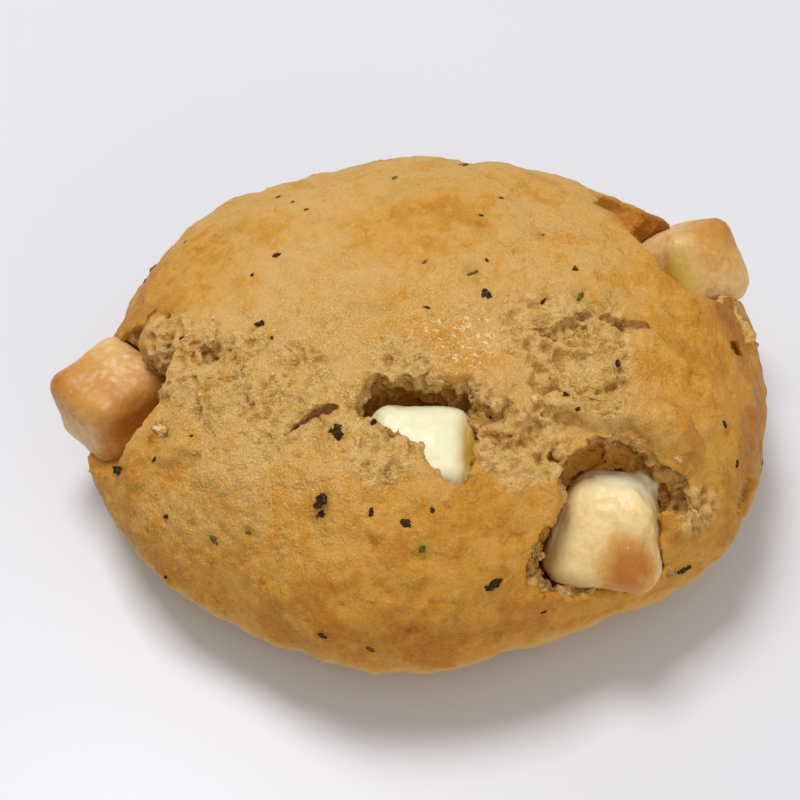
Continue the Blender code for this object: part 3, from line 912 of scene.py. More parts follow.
    # The pale crumb lump, kept free of the painted hollow shade.
    pale_lump: CrustSpot = CrustSpot(183, 40, 7, 1.2)
    slit_spot: CrustSpot = CrustSpot(234, 68, 5.5, 1.3)
    ledges: tuple = (CrustSpot(198, 6, 8, 1.6), CrustSpot(38, 42, 8, 1.6))
    cage_cuts: int = 47
    blob_subdivisions: int = 4
    crack_sides: int = 28
    crack_rings_per_stop: int = 8
    crack_end_rounding: float = 3.0
    window_edge: float = 1.5 * MM
    window_cuts: int = 24
    window_fray: float = 2.0 * MM
    seat_segments: int = 8
    seat_gap: float = 0.1 * MM
    thinnest_fray: float = 0.4
    voxel: float = 0.36 * MM
    quick_voxel: float = 0.7 * MM
    most_triangles: int = 192000
    tear_fade: float = 1.4
    rag: tuple = (2.6 * MM, 0.9 * MM)
    crust_lump: Relief = Relief(11.0 * MM, 0.80 * MM, 3)
    crumb_lump: tuple = (3.6 * MM, 1.2 * MM)
    crumb_edge: tuple = (1.2 * MM, 0.60 * MM)
    edge_shares: tuple = (0.4, 0.6)
    edge_depths: tuple = (0.4, 1.4)
    base_fade: tuple = (1.0 * MM, 4.0 * MM)
    opened_depths: tuple = (0.5, 1.3)
    tear_rag: Relief = Relief(5.0 * MM, 0.34, 4, 7.0)
    torn_edge: tuple = (0.34, 0.72)
    crumb_coarse: Relief = Relief(2.0 * MM, 1.0, 4, 3.0)
    coarse_shares: tuple = (0.50, 0.25)
    coarse_depths: tuple = (0.6, 2.0)
    crumb_fine: Relief = Relief(1.0 * MM, 0.30, 2, 6.0)
    crumb_pits: tuple = (Pitting(1.9 * MM, 0.5, 0.35, 0.65), Pitting(1.2 * MM, 0.45, 0.45, 0.50))
    slit_calm: float = 0.6
    sunk_depths: tuple = (0.02, 0.55)
    crust_broad: Relief = Relief(4.2 * MM, 0.36, 3, 11.0)
    crust_grain: Relief = Relief(1.2 * MM, 1.0, 2, 5.0)
    grain_heights: tuple = (0.12, 0.22)
    crust_pores: Pitting = Pitting(1.7 * MM, 0.28, 0.3)
    grain_depths: tuple = (0.06, 0.22)
    crust_pits: tuple = (Pitting(2.6 * MM, 0.24, 0.4, 0.4), Pitting(6.5 * MM, 0.2, 0.5, 0.5))
    side_heights: tuple = (17.0 * MM, 9.0 * MM)
    striae: Relief = Relief(1.6 * MM, 0.25, 2, 2.0)
    striae_stretch: Triple = (0.12, 0.12, 1.0)
    crust_thickness: float = 0.22 * MM
    bake_base: float = 0.32
    side_bake: float = 0.20
    side_bake_heights: tuple = (29.0 * MM, 14.0 * MM)
    foot_pale: float = 0.95
    foot_heights: tuple = (13.0 * MM, 6.0 * MM)
    # Painted shade: darker brown laid in the broad dents of the crust.
    painted_dent_shade: Pitting = Pitting(6.5 * MM, 0.24, 0.5, 0.12)

    def fray(self, place: Vector, radius: float) -> Vector:
        """Shift a place on a cutter, so that it leaves a ragged edge; a thin one shifts less."""
        wave, reach = self.rag
        return place + noise.noise_vector(place / wave) * min(reach, self.thinnest_fray * radius)

    def blob(self, blob: Blob) -> bpy.types.Object:
        """A blunt, uneven ellipsoid at its place in the dough."""
        shape = bmesh.new()
        bmesh.ops.create_icosphere(shape, subdivisions=self.blob_subdivisions, radius=MM)
        place = self.form.placement(blob.centre, blob.turn)
        shape.transform(place @ Matrix.Diagonal((*blob.radii, 1.0)))
        for vertex in shape.verts:
            vertex.co = self.fray(vertex.co, min(blob.radii) * MM)
        return object_from_bmesh("blob", shape)

    def crack(self, crack: Crack) -> bpy.types.Object:
        """A cutter whose poles are a crack's two ends.

        Args:
            crack: The crack's stops and lean.

        Returns:
            The cutter.
        """
        places = np.array([stop.place for stop in crack.stops]) * MM + np.array(self.form.centre)
        sizes = np.array([(stop.width, stop.depth) for stop in crack.stops]) * MM
        stops = np.arange(len(places))
        lean = Vector(crack.lean).normalized()
        shape = bmesh.new()
        rings = self.crack_rings_per_stop * len(places)
        bmesh.ops.create_uvsphere(
            shape, u_segments=self.crack_sides, v_segments=rings, radius=1.0
        )
        for vertex in shape.verts:
            share = math.acos(max(-1.0, min(1.0, vertex.co.z))) / math.pi * stops[-1]
            around = math.atan2(vertex.co.y, vertex.co.x)
            off_axis = math.hypot(vertex.co.x, vertex.co.y)
            round_off = min(1.0, self.crack_end_rounding * off_axis)
            place = Vector(np.interp(share, stops, axis) for axis in places.T)
            width, depth = (np.interp(share, stops, size) * round_off for size in sizes.T)
            ahead = min(share + 1.0, stops[-1])
            behind = max(share - 1.0, 0.0)
            along = Vector(
                np.interp(ahead, stops, axis) - np.interp(behind, stops, axis)
                for axis in places.T
            )
            across = lean.cross(along).normalized()
            place += across * math.cos(around) * width + lean * math.sin(around) * depth
            vertex.co = self.fray(place, width)
        bmesh.ops.recalc_face_normals(shape, faces=shape.faces[:])
        return object_from_bmesh("crack", shape)

    def window(self, window: Window) -> bpy.types.Object:
        """A square-sided cutter."""
        shape = round_block(
            window.size, self.window_edge, self.window_cuts, lambda grid, spot: 0.0
        )
        shape.transform(self.form.placement(window.centre, window.turn))
        for vertex in shape.verts:
            vertex.co = self.fray(vertex.co, self.window_fray)
        return object_from_bmesh("window", shape)

    def combine(
        self, dough: bpy.types.Object, tools: list[bpy.types.Object], operation: str
    ) -> None:
        """Cut shapes out of the dough or join them to it, and remove them.

        Args:
            dough: The dough.
            tools: The shapes.
            operation: DIFFERENCE or UNION.
        """
        group = bpy.data.collections.new("tools")
        bpy.context.scene.collection.children.link(group)
        for tool in tools:
            bpy.context.scene.collection.objects.unlink(tool)
            group.objects.link(tool)
        modifier = dough.modifiers.new("combine", "BOOLEAN")
        modifier.operation = operation
        modifier.operand_type = "COLLECTION"
        modifier.collection = group
        modifier.solver = "EXACT"
        modifier.use_self = True
        apply_modifiers(dough)
        for tool in tools:
            bpy.data.objects.remove(tool, do_unlink=True)
        bpy.data.collections.remove(group)

    def base_slab(self) -> bpy.types.Object:
        """A slab under the plane that the scone stands on."""
        reach = 2.0 * self.form.length
        shape = bmesh.new()
        bmesh.ops.create_cube(shape, size=1.0)
        shape.transform(Matrix.Diagonal((reach, reach, self.form.height, 1.0)))
        shape.transform(Matrix.Translation((0.0, 0.0, -self.form.height / 2)))
        return object_from_bmesh("base_slab", shape)

    def torn_shares(self, points: np.ndarray) -> np.ndarray:
        """How much of the crumb shows at each point: 0 on whole crust and 1 in the tears."""
        shares = np.zeros(len(points))
        for tear in self.tears:
            middle, _ = self.form.place(tear.azimuth, tear.rise)
            distance = np.linalg.norm(points - np.array(middle), axis=1)
            shares = np.maximum(shares, self.tear_fade - distance / (tear.radius * MM))
        return np.clip(shares, 0.0, 1.0)

    def depths(self, skin: BVHTree, points: np.ndarray) -> np.ndarray:
        """Depth of each point below the untorn crust, in millimetres."""
        depths = np.zeros(len(points))
        for index, point in enumerate(points.tolist()):
            nearest, normal, _, distance = skin.find_nearest(point)
            inside = (Vector(point) - nearest).dot(normal) < 0.0
            depths[index] = distance / MM if inside else 0.0
        return depths

    def roughen(self, dough: bpy.types.Object, depths: np.ndarray) -> None:
        """Raise the crust's lumps, tear its edges, and open the crumb.

        The dough then carries how much of the crumb shows at each vertex, and how sunk it is, which
        the material darkens as painted shade.

        Args:
            dough: The evenly meshed dough.
            depths: Depth of each vertex below the untorn crust, in millimetres.
        """
        points = mesh_points(dough.data)
        normals = mesh_normals(dough.data)
        above_base = smooth(points[:, 2], *self.base_fade)
        opened = smooth(depths, *self.opened_depths) * above_base
        shares = np.maximum(self.torn_shares(points), opened)
        shares *= 1.0 - np.clip(self.spots(points, self.ledges), 0.0, 1.0)
        points = points + normals * self.crust_lump.heights(points)[:, None]
        wave, height = self.crumb_lump
        points = points + shove(points, wave) * (height * shares)[:, None]
        wave, height = self.crumb_edge
        least, more = self.edge_shares
        rough_shares = shares * (least + more * smooth(depths, *self.edge_depths))
        points = points + shove(points, wave) * (height * rough_shares)[:, None]
        move_points(dough.data, points)
        normals = mesh_normals(dough.data)
        torn = smooth(shares + self.tear_rag.heights(points), *self.torn_edge)
        least, more = self.coarse_shares
        coarse = least + more * smooth(depths, *self.coarse_depths)
        wide_pits, fine_pits = self.crumb_pits
        crumb = self.crumb_coarse.heights(points) * coarse - wide_pits.depths(points)
        crumb += self.crumb_fine.heights(points) - fine_pits.depths(points)
        crumb *= 1.0 - self.slit_calm * np.clip(self.spots(points, (self.slit_spot,)), 0.0, 1.0)
        # How sunk the torn crumb is, which the material darkens as painted shade in its pits.
        sunk = smooth(-crumb, *self.sunk_depths) * torn
        grain_and_glint = np.clip(self.spots(points, self.grain_and_glint_spots), 0.0, 1.0)
        crust = self.crust_broad.heights(points)
        least, more = self.grain_heights
        crust += self.crust_grain.heights(points) * (least + more * grain_and_glint)
        least, more = self.grain_depths
        crust -= self.crust_pores.depths(points) * (least + more * grain_and_glint)
        crust -= sum(pitting.depths(points) for pitting in self.crust_pits)
        side = smooth(points[:, 2], *self.side_heights)
        striae = self.striae.heights(points * np.array(self.striae_stretch)) * side
        lift = torn * (crumb - self.crust_thickness / MM) + (1.0 - torn) * (crust + striae)
        points = points + normals * (lift * MM)[:, None]
        points[:, 2] = np.maximum(points[:, 2], 0.0)
        move_points(dough.data, points)
        carry(dough.data, "torn", torn)
        carry(dough.data, "sunk", sunk)

    def spots(self, points: np.ndarray, spots: tuple[CrustSpot, ...]) -> np.ndarray:
        """Sum of soft spots of the crust at points."""
        total = np.zeros(len(points))
        for spot in spots:
            middle, _ = self.form.place(spot.azimuth, spot.rise)
            distance = np.linalg.norm(points - np.array(middle), axis=1)
            total += spot.share * np.exp(-((distance / (spot.radius * MM)) ** 2))
        return total

    def browning_and_dent_shade(self, points: np.ndarray) -> np.ndarray:
        """How brown the crust is at each point, from 0 to 1, with painted shade in its broad dents.
        """
        lower = self.side_bake * smooth(points[:, 2], *self.side_bake_heights)
        foot = self.foot_pale * smooth(points[:, 2], *self.foot_heights)
        # Painted shade in the broad dents is added to the browning spots.
        spots = self.painted_dent_shade.depths(points) + self.spots(points, self.toasts)
        return np.clip(self.bake_base + lower - foot + spots, 0.0, 1.0)

    def build(self) -> bpy.types.Object:
        """Build the dough and dress it.

        Returns:
            The dough, with its browning, its depth for the painted shade in hollows and its torn
            share at its vertices.
        """
        dough = self.form.build(self.cage_cuts)
        skin = BVHTree.FromObject(dough, bpy.context.evaluated_depsgraph_get())
        cutters = [self.blob(hollow) for hollow in self.hollows]
        cutters += [self.crack(crack) for crack in self.cracks]
        cutters += [self.window(window) for window in self.windows]
        self.combine(dough, cutters, "DIFFERENCE")
        self.combine(dough, [self.blob(lump) for lump in self.swollen], "UNION")
        seats = [
            object_from_bmesh("seat", cheese.shape(self.seat_segments, self.seat_gap))
            for cheese in self.cheeses
        ]
        self.combine(dough, seats + [self.base_slab()], "DIFFERENCE")
        even = dough.modifiers.new("even_faces", "REMESH")
        even.mode = "VOXEL"
        even.voxel_size = self.voxel
        apply_modifiers(dough)
        depths = self.depths(skin, mesh_points(dough.data))
        self.roughen(dough, depths)
        # Depth drives the painted hollow shade; the pale lump is kept free of it.
        hollow_shade_share = 1.0 - np.clip(self.spots(mesh_points(dough.data), (self.pale_lump,)), 0.0, 1.0)
        carry(dough.data, "depth", depths * hollow_shade_share)
        dough.data.calc_loop_triangles()
        count = len(dough.data.loop_triangles)
        if count > self.most_triangles:
            fewer = dough.modifiers.new("fewer_faces", "DECIMATE")
            fewer.ratio = self.most_triangles / count
            apply_modifiers(dough)
        points = mesh_points(dough.data)
        # The bake also carries painted shade in the broad dents.
        carry(dough.data, "bake", self.browning_and_dent_shade(points))
        carry(dough.data, "glaze", self.spots(points, self.glazes))
        carry(dough.data, "grain_and_glint", np.clip(self.spots(points, self.grain_and_glint_spots), 0.0, 1.0))
        carry(dough.data, "painted_sheen", np.clip(self.spots(points, self.painted_sheen_spots), 0.0, 1.0))
        dough.data.materials.append(DoughFinish().material())
        dough.data.shade_smooth()
        LOG.info("dough: %d triangles meshed", count)
        return dough


# ---------------------------------------------------------------------------------------------
# The cheese
# ---------------------------------------------------------------------------------------------


@dataclass(frozen=True)
class CubeSpot:
    """A soft spot of a cube: its middle on the cube from -1 to 1 each way, and its radius."""

    middle: Triple
    radius: float
    share: float


@dataclass
class CheeseCube:
    """One cube of cheese: centre and size in millimetres, turn in degrees."""

    name: str
    node: str
    slot: str
    centre: Triple
    size: Triple
    turn: Triple
    flare: float
    seed: int
    form: DoughForm
    skew: float = 0.0
    browns: tuple = ()
    pales: tuple = ()
    # Spots of waxy yellow, partly melted wax and partly painted shade on shaded faces.
    wax_and_shade_spots: tuple = ()
    pulls: tuple = ()
    base_bake: float = 0.0
    rim_wax_and_shade: float = 0.0
    rim_edge: tuple = (0.72, 0.90)
    dimples: tuple = (2.8 * MM, 0.16, 3)
    skin: Relief = Relief(0.9 * MM, 0.04, 2)
    pull_rag: Relief = Relief(1.3 * MM, 0.9, 3, 9.0)
    edge_radius: float = 2.6 * MM
    bulge: float = 0.7 * MM
    uneven: float = 0.55 * MM
    wave: float = 7.0 * MM
    segments: int = 44

    def shape(self, segments: int, grow: float) -> bmesh.types.BMesh:
        """The cube with round edges and full, uneven sides.

        Args:
            segments: Divisions along each edge.
            grow: Distance that its faces are moved outwards.

        Returns:
            The shape, at its place in the dough.
        """
        shift = Vector((self.seed, 0.0, 0.0))

        def puff(grid: Vector, spot: Vector) -> float:
            """Outward move at a place of the grid."""
            second_largest = sorted(abs(value) for value in grid)[1]
            fullness = (1.0 - second_largest ** 2) ** 2 * self.bulge
            return fullness + noise.noise(spot / self.wave + shift) * self.uneven + grow

        shape = round_block(self.size, self.edge_radius, segments, puff)
        for vertex in shape.verts:
            widening = 1.0 - self.flare * vertex.co.z / (self.size[2] * MM)
            vertex.co.x *= widening
            vertex.co.y *= widening
            vertex.co.x -= self.skew * (vertex.co.z + self.size[2] * MM / 2)
        shape.transform(self.form.placement(self.centre, self.turn))
        return shape

    def spots(self, places: np.ndarray, spots: tuple) -> np.ndarray:
        """Sum of soft spots at places on the cube from -1 to 1 each way, clipped to 0 to 1."""
        total = np.zeros(len(places))
        for spot in spots:
            distance = np.linalg.norm(places - np.array(spot.middle), axis=1)
            total += spot.share * np.exp(-((distance / spot.radius) ** 2))
        return np.clip(total, 0.0, 1.0)

    def build(self) -> bpy.types.Object:
        """Build the cube and dress it."""
        cube = object_from_bmesh(self.name, self.shape(self.segments, 0.0))
        points = mesh_points(cube.data)
        back = np.array(self.form.placement(self.centre, self.turn).inverted())
        places = points @ back[:3, :3].T + back[:3, 3]
        places /= np.array(self.size) * MM / 2
        lift = Relief(*self.dimples, self.seed).heights(points) + self.skin.heights(points)
        for pull in self.pulls:
            distance = np.linalg.norm(places - np.array(pull.middle), axis=1)
            ragged = 1.0 + self.pull_rag.heights(points)
            lift += pull.share * np.exp(-((distance / pull.radius) ** 2)) * ragged
        points = points + mesh_normals(cube.data) * (lift * MM)[:, None]
        move_points(cube.data, points)
        carry(cube.data, "bake", self.base_bake + self.spots(places, self.browns))
        carry(cube.data, "pale", self.spots(places, self.pales))
        # Waxy yellow at the rims and spots, partly painted shade.
        rim = smooth(np.sort(np.abs(places), axis=1)[:, 1], *self.rim_edge) * self.rim_wax_and_shade
        carry(cube.data, "wax_and_shade", np.maximum(self.spots(places, self.wax_and_shade_spots), rim))
        cube.data.materials.append(CheeseFinish(self.name + "_finish").material())
        cube.data.shade_smooth()
        LOG.info("%s: %d faces", self.name, len(cube.data.polygons))
        return cube


def cheese_cubes(form: DoughForm) -> list[CheeseCube]:
    """The four cubes of cheese."""
    return [
        CheeseCube(
            "cheese_left", "cheese_cube_left", "toasted_cheese",
            (-43.4, -2.8, 15.6), (12.6, 12.7, 12.0), (-1, 0, 46), -0.04, 3, form,
            browns=(
                CubeSpot((-1.0, 1.0, 1.0), 0.9, 0.55),
                CubeSpot((-0.6, -0.8, 0.9), 0.8, 0.25),
                CubeSpot((1.0, -1.0, 0.5), 0.8, 0.22),
                CubeSpot((0.0, -1.0, 0.6), 0.8, 0.15),
            ),
            wax_and_shade_spots=(CubeSpot((1.0, -0.2, -0.4), 0.9, 0.55), CubeSpot((1.0, -0.7, -0.9), 0.5, 0.4)),
            pulls=(
                CubeSpot((-0.9, -0.5, -1.0), 0.30, 0.6),
                CubeSpot((-0.5, -1.0, -1.0), 0.25, 0.5),
                CubeSpot((0.1, 0.0, 1.05), 0.5, -0.3),
            ),
            base_bake=0.27,
            bulge=0.4 * MM,
            uneven=0.4 * MM,
        ),
        CheeseCube(
            "cheese_centre", "cheese_cube_centre", "pale_cheese",
            (-1.3, -21.4, 25.2), (13.0, 12.4, 12.0), (8, 0, 0), 0.0, 11, form,
            pales=(CubeSpot((0.0, 0.0, 0.0), 9.0, 1.3),),
            wax_and_shade_spots=(CubeSpot((1.2, 0.3, 0.9), 0.45, 1.0), CubeSpot((1.2, -0.4, 0.9), 0.50, 1.1)),
            uneven=0.3 * MM,
            rim_wax_and_shade=0.4,
        ),
        CheeseCube(
            "cheese_front", "cheese_cube_front", "toasted_cheese",
            (23.2, -26.1, 17.9), (12.9, 12.3, 12.8), (-37, -3, -14), 0.42, 23, form,
            skew=0.08,
            browns=(
                CubeSpot((0.55, -1.0, -0.45), 0.55, 0.95),
                CubeSpot((0.1, -1.0, -0.1), 0.8, 0.15),
            ),
            pales=(CubeSpot((0.0, 0.4, 1.2), 1.0, 1.2), CubeSpot((-1.1, -0.7, 0.0), 0.5, 0.6)),
            wax_and_shade_spots=(CubeSpot((-0.8, 0.5, 0.9), 0.55, 0.35), CubeSpot((-1.2, -0.9, -0.7), 0.45, 0.6)),
            pulls=(
                CubeSpot((0.50, 0.74, 0.95), 0.30, 2.6),
                CubeSpot((1.0, -0.6, 0.2), 0.5, -0.4),
                CubeSpot((-0.2, -1.0, 0.7), 0.4, -0.3),
            ),
            edge_radius=2.8 * MM,
        ),
        CheeseCube(
            "cheese_back", "cheese_cube_back", "toasted_cheese",
            (38.3, 19.6, 18.7), (12.2, 12.0, 12.0), (-46.7, 8.9, 33.5), 0.0, 37, form,
            browns=(
                CubeSpot((0.9, -1.0, 1.0), 0.8, 0.40),
                CubeSpot((0.2, -1.0, 0.6), 0.8, 0.15),
            ),
            pales=(CubeSpot((-0.9, 0.4, 1.0), 0.8, 0.3),),
            wax_and_shade_spots=(CubeSpot((-1.1, -0.8, 0.0), 0.7, 0.8),),
            base_bake=0.27,
            edge_radius=2.4 * MM,
        ),
    ]


# ---------------------------------------------------------------------------------------------
# Herbs and crumbs
# ---------------------------------------------------------------------------------------------


class Herb(Enum):
    """Kinds of herb fleck, each with its tint and how strongly it stains the dough."""

    BLACK = (0.0, 0.30)
    OLIVE = (0.5, 0.65)
    GREY = (1.0, 0.4)


@dataclass(frozen=True)
class Fleck:
    """A fleck of herb: its place, length in millimetres, heading in degrees and kind."""

    azimuth: float
    rise: float
    length: float
    heading: float
    kind: Herb = Herb.BLACK
    slimness: float = 0.6


FLECKS = rows(Fleck, (
    (160, 67, 1.8, 60), (348, 84, 2.4, 20, Herb.BLACK, 0.9), (191, 66, 2.6, 0),
    (242, 60, 2.8, 10, Herb.BLACK, 0.9), (205, 21, 3.0, 30),
    (246, 46, 2.8, 75, Herb.BLACK, 0.8), (247, 43, 2.2, 50, Herb.BLACK, 0.5),
    (265, 44, 2.4, 330), (281, 26, 3.2, 30, Herb.BLACK, 0.45),
    (228, 24, 2.2, 340, Herb.OLIVE), (317, 6, 2.8, 10), (292, 63, 1.1, 0),
    (270, 47, 1.2, 70), (132, 48, 1.2, 20), (134, 58, 1.1, 60),
    (135, 63, 1.0, 0), (101, 60, 1.3, 40, Herb.GREY), (62, 64, 0.9, 0),
    (64, 72, 1.2, 10), (34, 72, 1.2, 110, Herb.GREY), (169, 63, 1.1, 30),
    (100, 87, 1.6, 0, Herb.GREY), (31, 83, 1.0, 50),
    (21, 86, 2.4, 25, Herb.OLIVE, 0.35), (263, 87, 1.3, 0), (12, 71, 1.7, 350),
    (352, 76, 1.5, 350, Herb.BLACK, 0.4), (359, 70, 2.8, 15, Herb.OLIVE, 0.35),
    (187, 49, 1.2, 80), (336, 60, 1.5, 0), (316, 62, 1.6, 60),
    (314, 59, 1.0, 30), (338, 34, 1.4, 70), (335, 23, 1.4, 20),
    (251, 64, 1.3, 60), (257, 64, 1.4, 330), (281, 57, 2.6, 85, Herb.BLACK, 0.3),
    (210, 33, 1.6, 75, Herb.BLACK, 0.4), (212, 43, 1.0, 50), (257, 46, 1.5, 80),
    (300, 37, 1.3, 40), (268, 38, 1.5, 60, Herb.OLIVE), (218, 22, 1.2, 40),
    (234, 31, 1.5, 20, Herb.OLIVE), (221, 1, 1.6, 60, Herb.BLACK, 0.35),
    (252, 11, 1.5, 350), (260, 8, 1.5, 320, Herb.OLIVE), (306, 8, 1.0, 330),
    (290, 12, 1.0, 10), (199, 67, 1.6, 10, Herb.BLACK, 0.35), (345, 4, 1.2, 70),
))


@dataclass
class Herbs:
    """The flecks of dried herb, as one mesh."""

    form: DoughForm
    flecks: tuple = FLECKS
    hidden_count: int = 34
    seed: int = 5
    thickness: float = 0.34 * MM
    sink: float = 0.05 * MM
    bit_shares: tuple = (0.66, 0.50, 0.48, 0.42, 0.36, 0.32, 0.28)
    number_shift: float = 3.7
    bit_shift: float = 2.3
    crumple: tuple = (1.6, 0.8)
    curl: tuple = (1.8, 1.2)
    bit_turn: float = 2.4
    bit_reach: float = 0.75
    stain_rag: Relief = Relief(1.6 * MM, 0.9, 3, 4.0)
    far_azimuths: tuple = (5, 178)
    far_rises: tuple = (4.0, 44.0)
    far_lengths: tuple = (0.9, 2.4)
    far_slimness: tuple = (0.35, 0.7)

    def all_flecks(self) -> list[Fleck]:
        """The listed flecks, and a seeded rule's flecks for the far side."""
        draw = np.random.default_rng(self.seed)
        flecks = list(self.flecks)
        for _ in range(self.hidden_count):
            kind = (Herb.BLACK, Herb.BLACK, Herb.OLIVE, Herb.GREY)[draw.integers(4)]
            lowest, span = self.far_rises
            flecks.append(Fleck(
                draw.uniform(*self.far_azimuths), lowest + span * draw.random() ** 1.3,
                draw.uniform(*self.far_lengths), draw.uniform(0, 360), kind,
                draw.uniform(*self.far_slimness),
            ))
        return flecks

    def flake(self, fleck: Fleck, place: Matrix, number: int) -> bmesh.types.BMesh:
        """One crumpled flake of a few bits.

        Args:
            fleck: What it is.
            place: Its place and lie on the crust.
            number: Its number, which sets its own crumple.

        Returns:
            The flake.
        """
        shape = bmesh.new()
        half = (fleck.length * MM / 2, fleck.length * fleck.slimness * MM / 2, self.thickness / 2)
        for bit, share in enumerate(self.bit_shares):
            shift = Vector((number * self.number_shift, bit * self.bit_shift, 0.0))
            turn = bit * self.bit_turn + number
            reach = self.bit_reach * (1.0 - share) * (bit > 0)
            aside = Vector((math.cos(turn), math.sin(turn), 0.0)) * reach
            points = bmesh.ops.create_icosphere(shape, subdivisions=2, radius=1.0)["verts"]
            for vertex in points:
                pace, strength = self.crumple
                spread = share * (1.0 + strength * noise.noise(vertex.co * pace + shift))
                pace, strength = self.curl
                curl = strength * noise.noise(vertex.co * pace + shift * 2.0)
                vertex.co = Vector((
                    (vertex.co.x * spread + aside.x) * half[0],
                    (vertex.co.y * spread + aside.y) * half[1],
                    (vertex.co.z * (1.0 + share) / 2 + curl) * half[2],
                ))
        shape.transform(place)
        return shape

    def build(self, dough: bpy.types.Object) -> bpy.types.Object:
        """Lay the flecks on the dough and stain the dough round them.

        Args:
            dough: The finished dough.

        Returns:
            The flecks as one object.
        """
        skin = BVHTree.FromObject(dough, bpy.context.evaluated_depsgraph_get())
        whole = bmesh.new()
        tints, middles = [], []
        for number, fleck in enumerate(self.all_flecks()):
            crust, way_out = self.form.place(fleck.azimuth, fleck.rise)
            point, normal, _, _ = skin.ray_cast(crust + way_out * PROBE_REACH, -way_out)
            if point is None:
                continue
            lie = normal.to_track_quat("Z", "Y").to_matrix().to_4x4()
            spin = Matrix.Rotation(math.radians(fleck.heading), 4, "Z")
            place = Matrix.Translation(point - normal * self.sink) @ lie @ spin
            flake = self.flake(fleck, place, number)
            piece = bpy.data.meshes.new("flake")
            flake.to_mesh(piece)
            flake.free()
            whole.from_mesh(piece)
            tint, strength = fleck.kind.value
            tints += [tint] * len(piece.vertices)
            bpy.data.meshes.remove(piece)
            middles.append((point, fleck.length * MM, strength))
        herbs = object_from_bmesh("herb_flecks", whole)
        carry(herbs.data, "tint", np.array(tints))
        herbs.data.materials.append(HerbFinish().material())
        herbs.data.shade_smooth()
        points = mesh_points(dough.data)
        stain = np.zeros(len(points))
        ragged = 1.0 + self.stain_rag.heights(points)
        for point, length, strength in middles:
            distance = np.linalg.norm(points - np.array(point), axis=1)
            halo = np.exp(-((distance / (0.5 * length + 0.5 * MM)) ** 2)) * strength
            stain = np.maximum(stain, halo * ragged)
        carry(dough.data, "stain", stain)
        LOG.info("herbs: %d flecks", len(middles))
        return herbs


@dataclass
class Crumbs:
    """Loose crumbs that stick to the torn stretches, as one mesh."""

    placed: tuple = (
        (206, 39, 1.5), (207, 38, 1.0), (205, 40, 0.9), (204, 41, 0.8),
        (294, 20, 1.5), (293, 22, 1.1), (295, 19, 1.0), (296, 21, 0.9),
        (322, 23, 1.0), (322, 46, 1.0), (325, 38, 1.2), (307, 64, 0.9), (295, 66, 0.9),
    )
    count: int = 110
    seed: int = 21
    smallest: float = 0.22 * MM
    largest: float = 0.50 * MM
    least_torn: float = 0.4
    least_upward: float = 0.25
    squash: Triple = (1.15, 0.85, 0.5)
    number_shift: float = 5.1
    number_turn: float = 2.4
    bump_wave: float = 1.3
    bump_height: float = 0.9

    def build(self, dough: bpy.types.Object, form: DoughForm) -> bpy.types.Object:
        """Lay the placed crumbs and scatter the rest over the torn crumb by a seeded rule.

        Args:
            dough: The finished dough.
            form: The even form of the dough.

        Returns:
            The crumbs as one object.
        """
        draw = np.random.default_rng(self.seed)
        torn = np.empty(len(dough.data.vertices), dtype=np.float32)
        dough.data.attributes["torn"].data.foreach_get("value", torn)
        points, normals = mesh_points(dough.data), mesh_normals(dough.data)
        room = np.flatnonzero((torn > self.least_torn) & (normals[:, 2] > self.least_upward))
        spots = [
            (Vector(points[index]), Vector(normals[index]),
             draw.uniform(self.smallest, self.largest) / 2)
            for index in draw.choice(room, self.count, replace=False)
        ]
        skin = BVHTree.FromObject(dough, bpy.context.evaluated_depsgraph_get())
        for azimuth, rise, length in self.placed:
            crust, way_out = form.place(azimuth, rise)
            point, normal, _, _ = skin.ray_cast(crust + way_out * PROBE_REACH, -way_out)
            spots.append((point, normal, length * MM / 2))
        whole = bmesh.new()
        for number, (point, normal, radius) in enumerate(spots):
            crumb = bmesh.ops.create_icosphere(whole, subdivisions=3, radius=radius)["verts"]
            shift = Vector((number * self.number_shift, 0.0, 0.0))
            for vertex in crumb:
                bump = noise.fractal(vertex.co / radius * self.bump_wave + shift, 0.8, 2.2, 3)
                vertex.co *= 1.0 + self.bump_height * bump
            lie = normal.to_track_quat("Z", "Y").to_matrix().to_4x4()
            flat = Matrix.Diagonal((*self.squash, 1.0))
            spin = Matrix.Rotation(number * self.number_turn, 4, "Z")
            place = Matrix.Translation(point) @ lie @ spin @ flat
            bmesh.ops.transform(whole, matrix=place, verts=crumb)
        crumbs = object_from_bmesh("loose_crumbs", whole)
        crumbs.data.materials.append(CrumbFinish().material())
        crumbs.data.shade_smooth()
        LOG.info("crumbs: %d", len(spots))
        return crumbs


# ---------------------------------------------------------------------------------------------
# Studio
# ---------------------------------------------------------------------------------------------


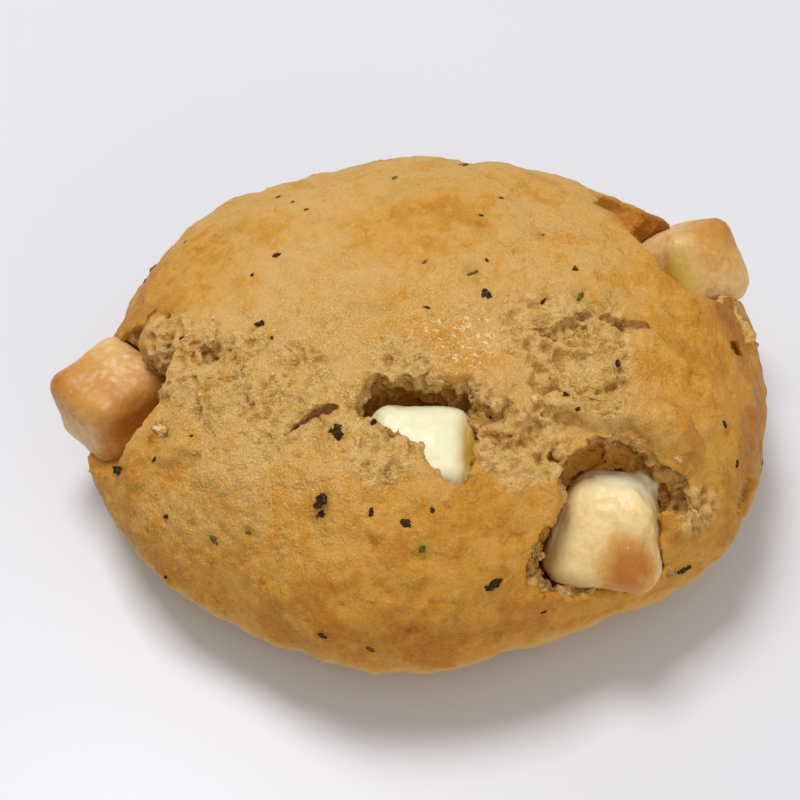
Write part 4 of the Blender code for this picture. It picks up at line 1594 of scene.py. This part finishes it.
@dataclass
class Studio:
    """Plain pale floor, soft light and the camera at the photograph's viewing angle."""

    target: Vector = Vector((-1.9, -0.65, 14.0)) * MM
    distance: float = 0.230
    tilt: float = 50.0
    lens: float = 74.0
    floor_reach: float = 1.5
    floor_colour: tuple = srgb(222, 223, 229)
    sensor: float = 36.0
    nearest: float = 0.01
    sky_colour: tuple = (1.0, 0.96, 0.89, 1.0)
    sky_strength: float = 0.39
    lamps: tuple = (
        ("key", (-0.14, 0.19, 0.68), 0.26, 3.5, (0.97, 0.98, 1.0)),
        ("fill", (0.1, -0.6, 0.9), 0.8, 0.92, (1.0, 0.98, 0.94)),
        ("low_fill", (0.40, -0.62, 0.28), 0.5, 1.4, (1.0, 0.96, 0.88)),
    )

    def floor(self) -> None:
        """A wide pale floor with a slight gloss."""
        shape = bmesh.new()
        bmesh.ops.create_grid(shape, x_segments=1, y_segments=1, size=self.floor_reach)
        floor = object_from_bmesh("floor", shape)
        w = Wiring("pale_floor")
        floor.data.materials.append(w.finish(
            Base_Color=self.floor_colour, Roughness=0.35, Specular_IOR_Level=0.3,
        ))

    def lamp(self, name: str, place: Triple, size: float, power: float, tint: Triple) -> None:
        """A square soft lamp that faces the scone."""
        light = bpy.data.lights.new(name, "AREA")
        light.size, light.energy, light.color = size, power, tint
        lamp = bpy.data.objects.new(name, light)
        lamp.location = place
        lamp.rotation_euler = (-Vector(place)).to_track_quat("-Z", "Y").to_euler()
        bpy.context.scene.collection.objects.link(lamp)

    def sky(self) -> None:
        """Even pale light from all round."""
        world = bpy.data.worlds.new("studio")
        world.use_nodes = True
        background = world.node_tree.nodes["Background"]
        background.inputs["Color"].default_value = self.sky_colour
        background.inputs["Strength"].default_value = self.sky_strength
        bpy.context.scene.world = world

    def camera(self) -> None:
        """The camera, which looks down on the scone's front."""
        tilt = math.radians(self.tilt)
        back = Vector((0.0, -math.cos(tilt), math.sin(tilt))) * self.distance
        data = bpy.data.cameras.new("camera")
        data.lens, data.sensor_width, data.clip_start = self.lens, self.sensor, self.nearest
        camera = bpy.data.objects.new("camera", data)
        camera.location = self.target + back
        camera.rotation_euler = (-back).to_track_quat("-Z", "Y").to_euler()
        bpy.context.scene.collection.objects.link(camera)
        bpy.context.scene.camera = camera

    def build(self) -> None:
        """Set up floor, lamps, sky and camera."""
        self.floor()
        for lamp in self.lamps:
            self.lamp(*lamp)
        self.sky()
        self.camera()
        scene = bpy.context.scene
        scene.view_settings.view_transform = "Standard"
        scene.view_settings.look = "None"


def main() -> None:
    """Build every piece in order, hide the solids that the dough and the cubes stand in for, and
    attach every piece to the body.
    """
    logging.basicConfig(level=logging.INFO, format="%(name)s: %(message)s")
    noise.seed_set(NOISE_SEED)
    form = DoughForm()
    cubes = cheese_cubes(form)
    dough = Dough(form, cubes).build()
    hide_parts("scone_dough")
    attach(dough, BODY)
    for cube in cubes:
        piece = cube.build()
        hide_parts(cube.node)
        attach(piece, BODY)
    for piece in (Herbs(form).build(dough), Crumbs().build(dough, form)):
        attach(piece, BODY)
    Studio().build()


if __name__ == "__main__":
    main()
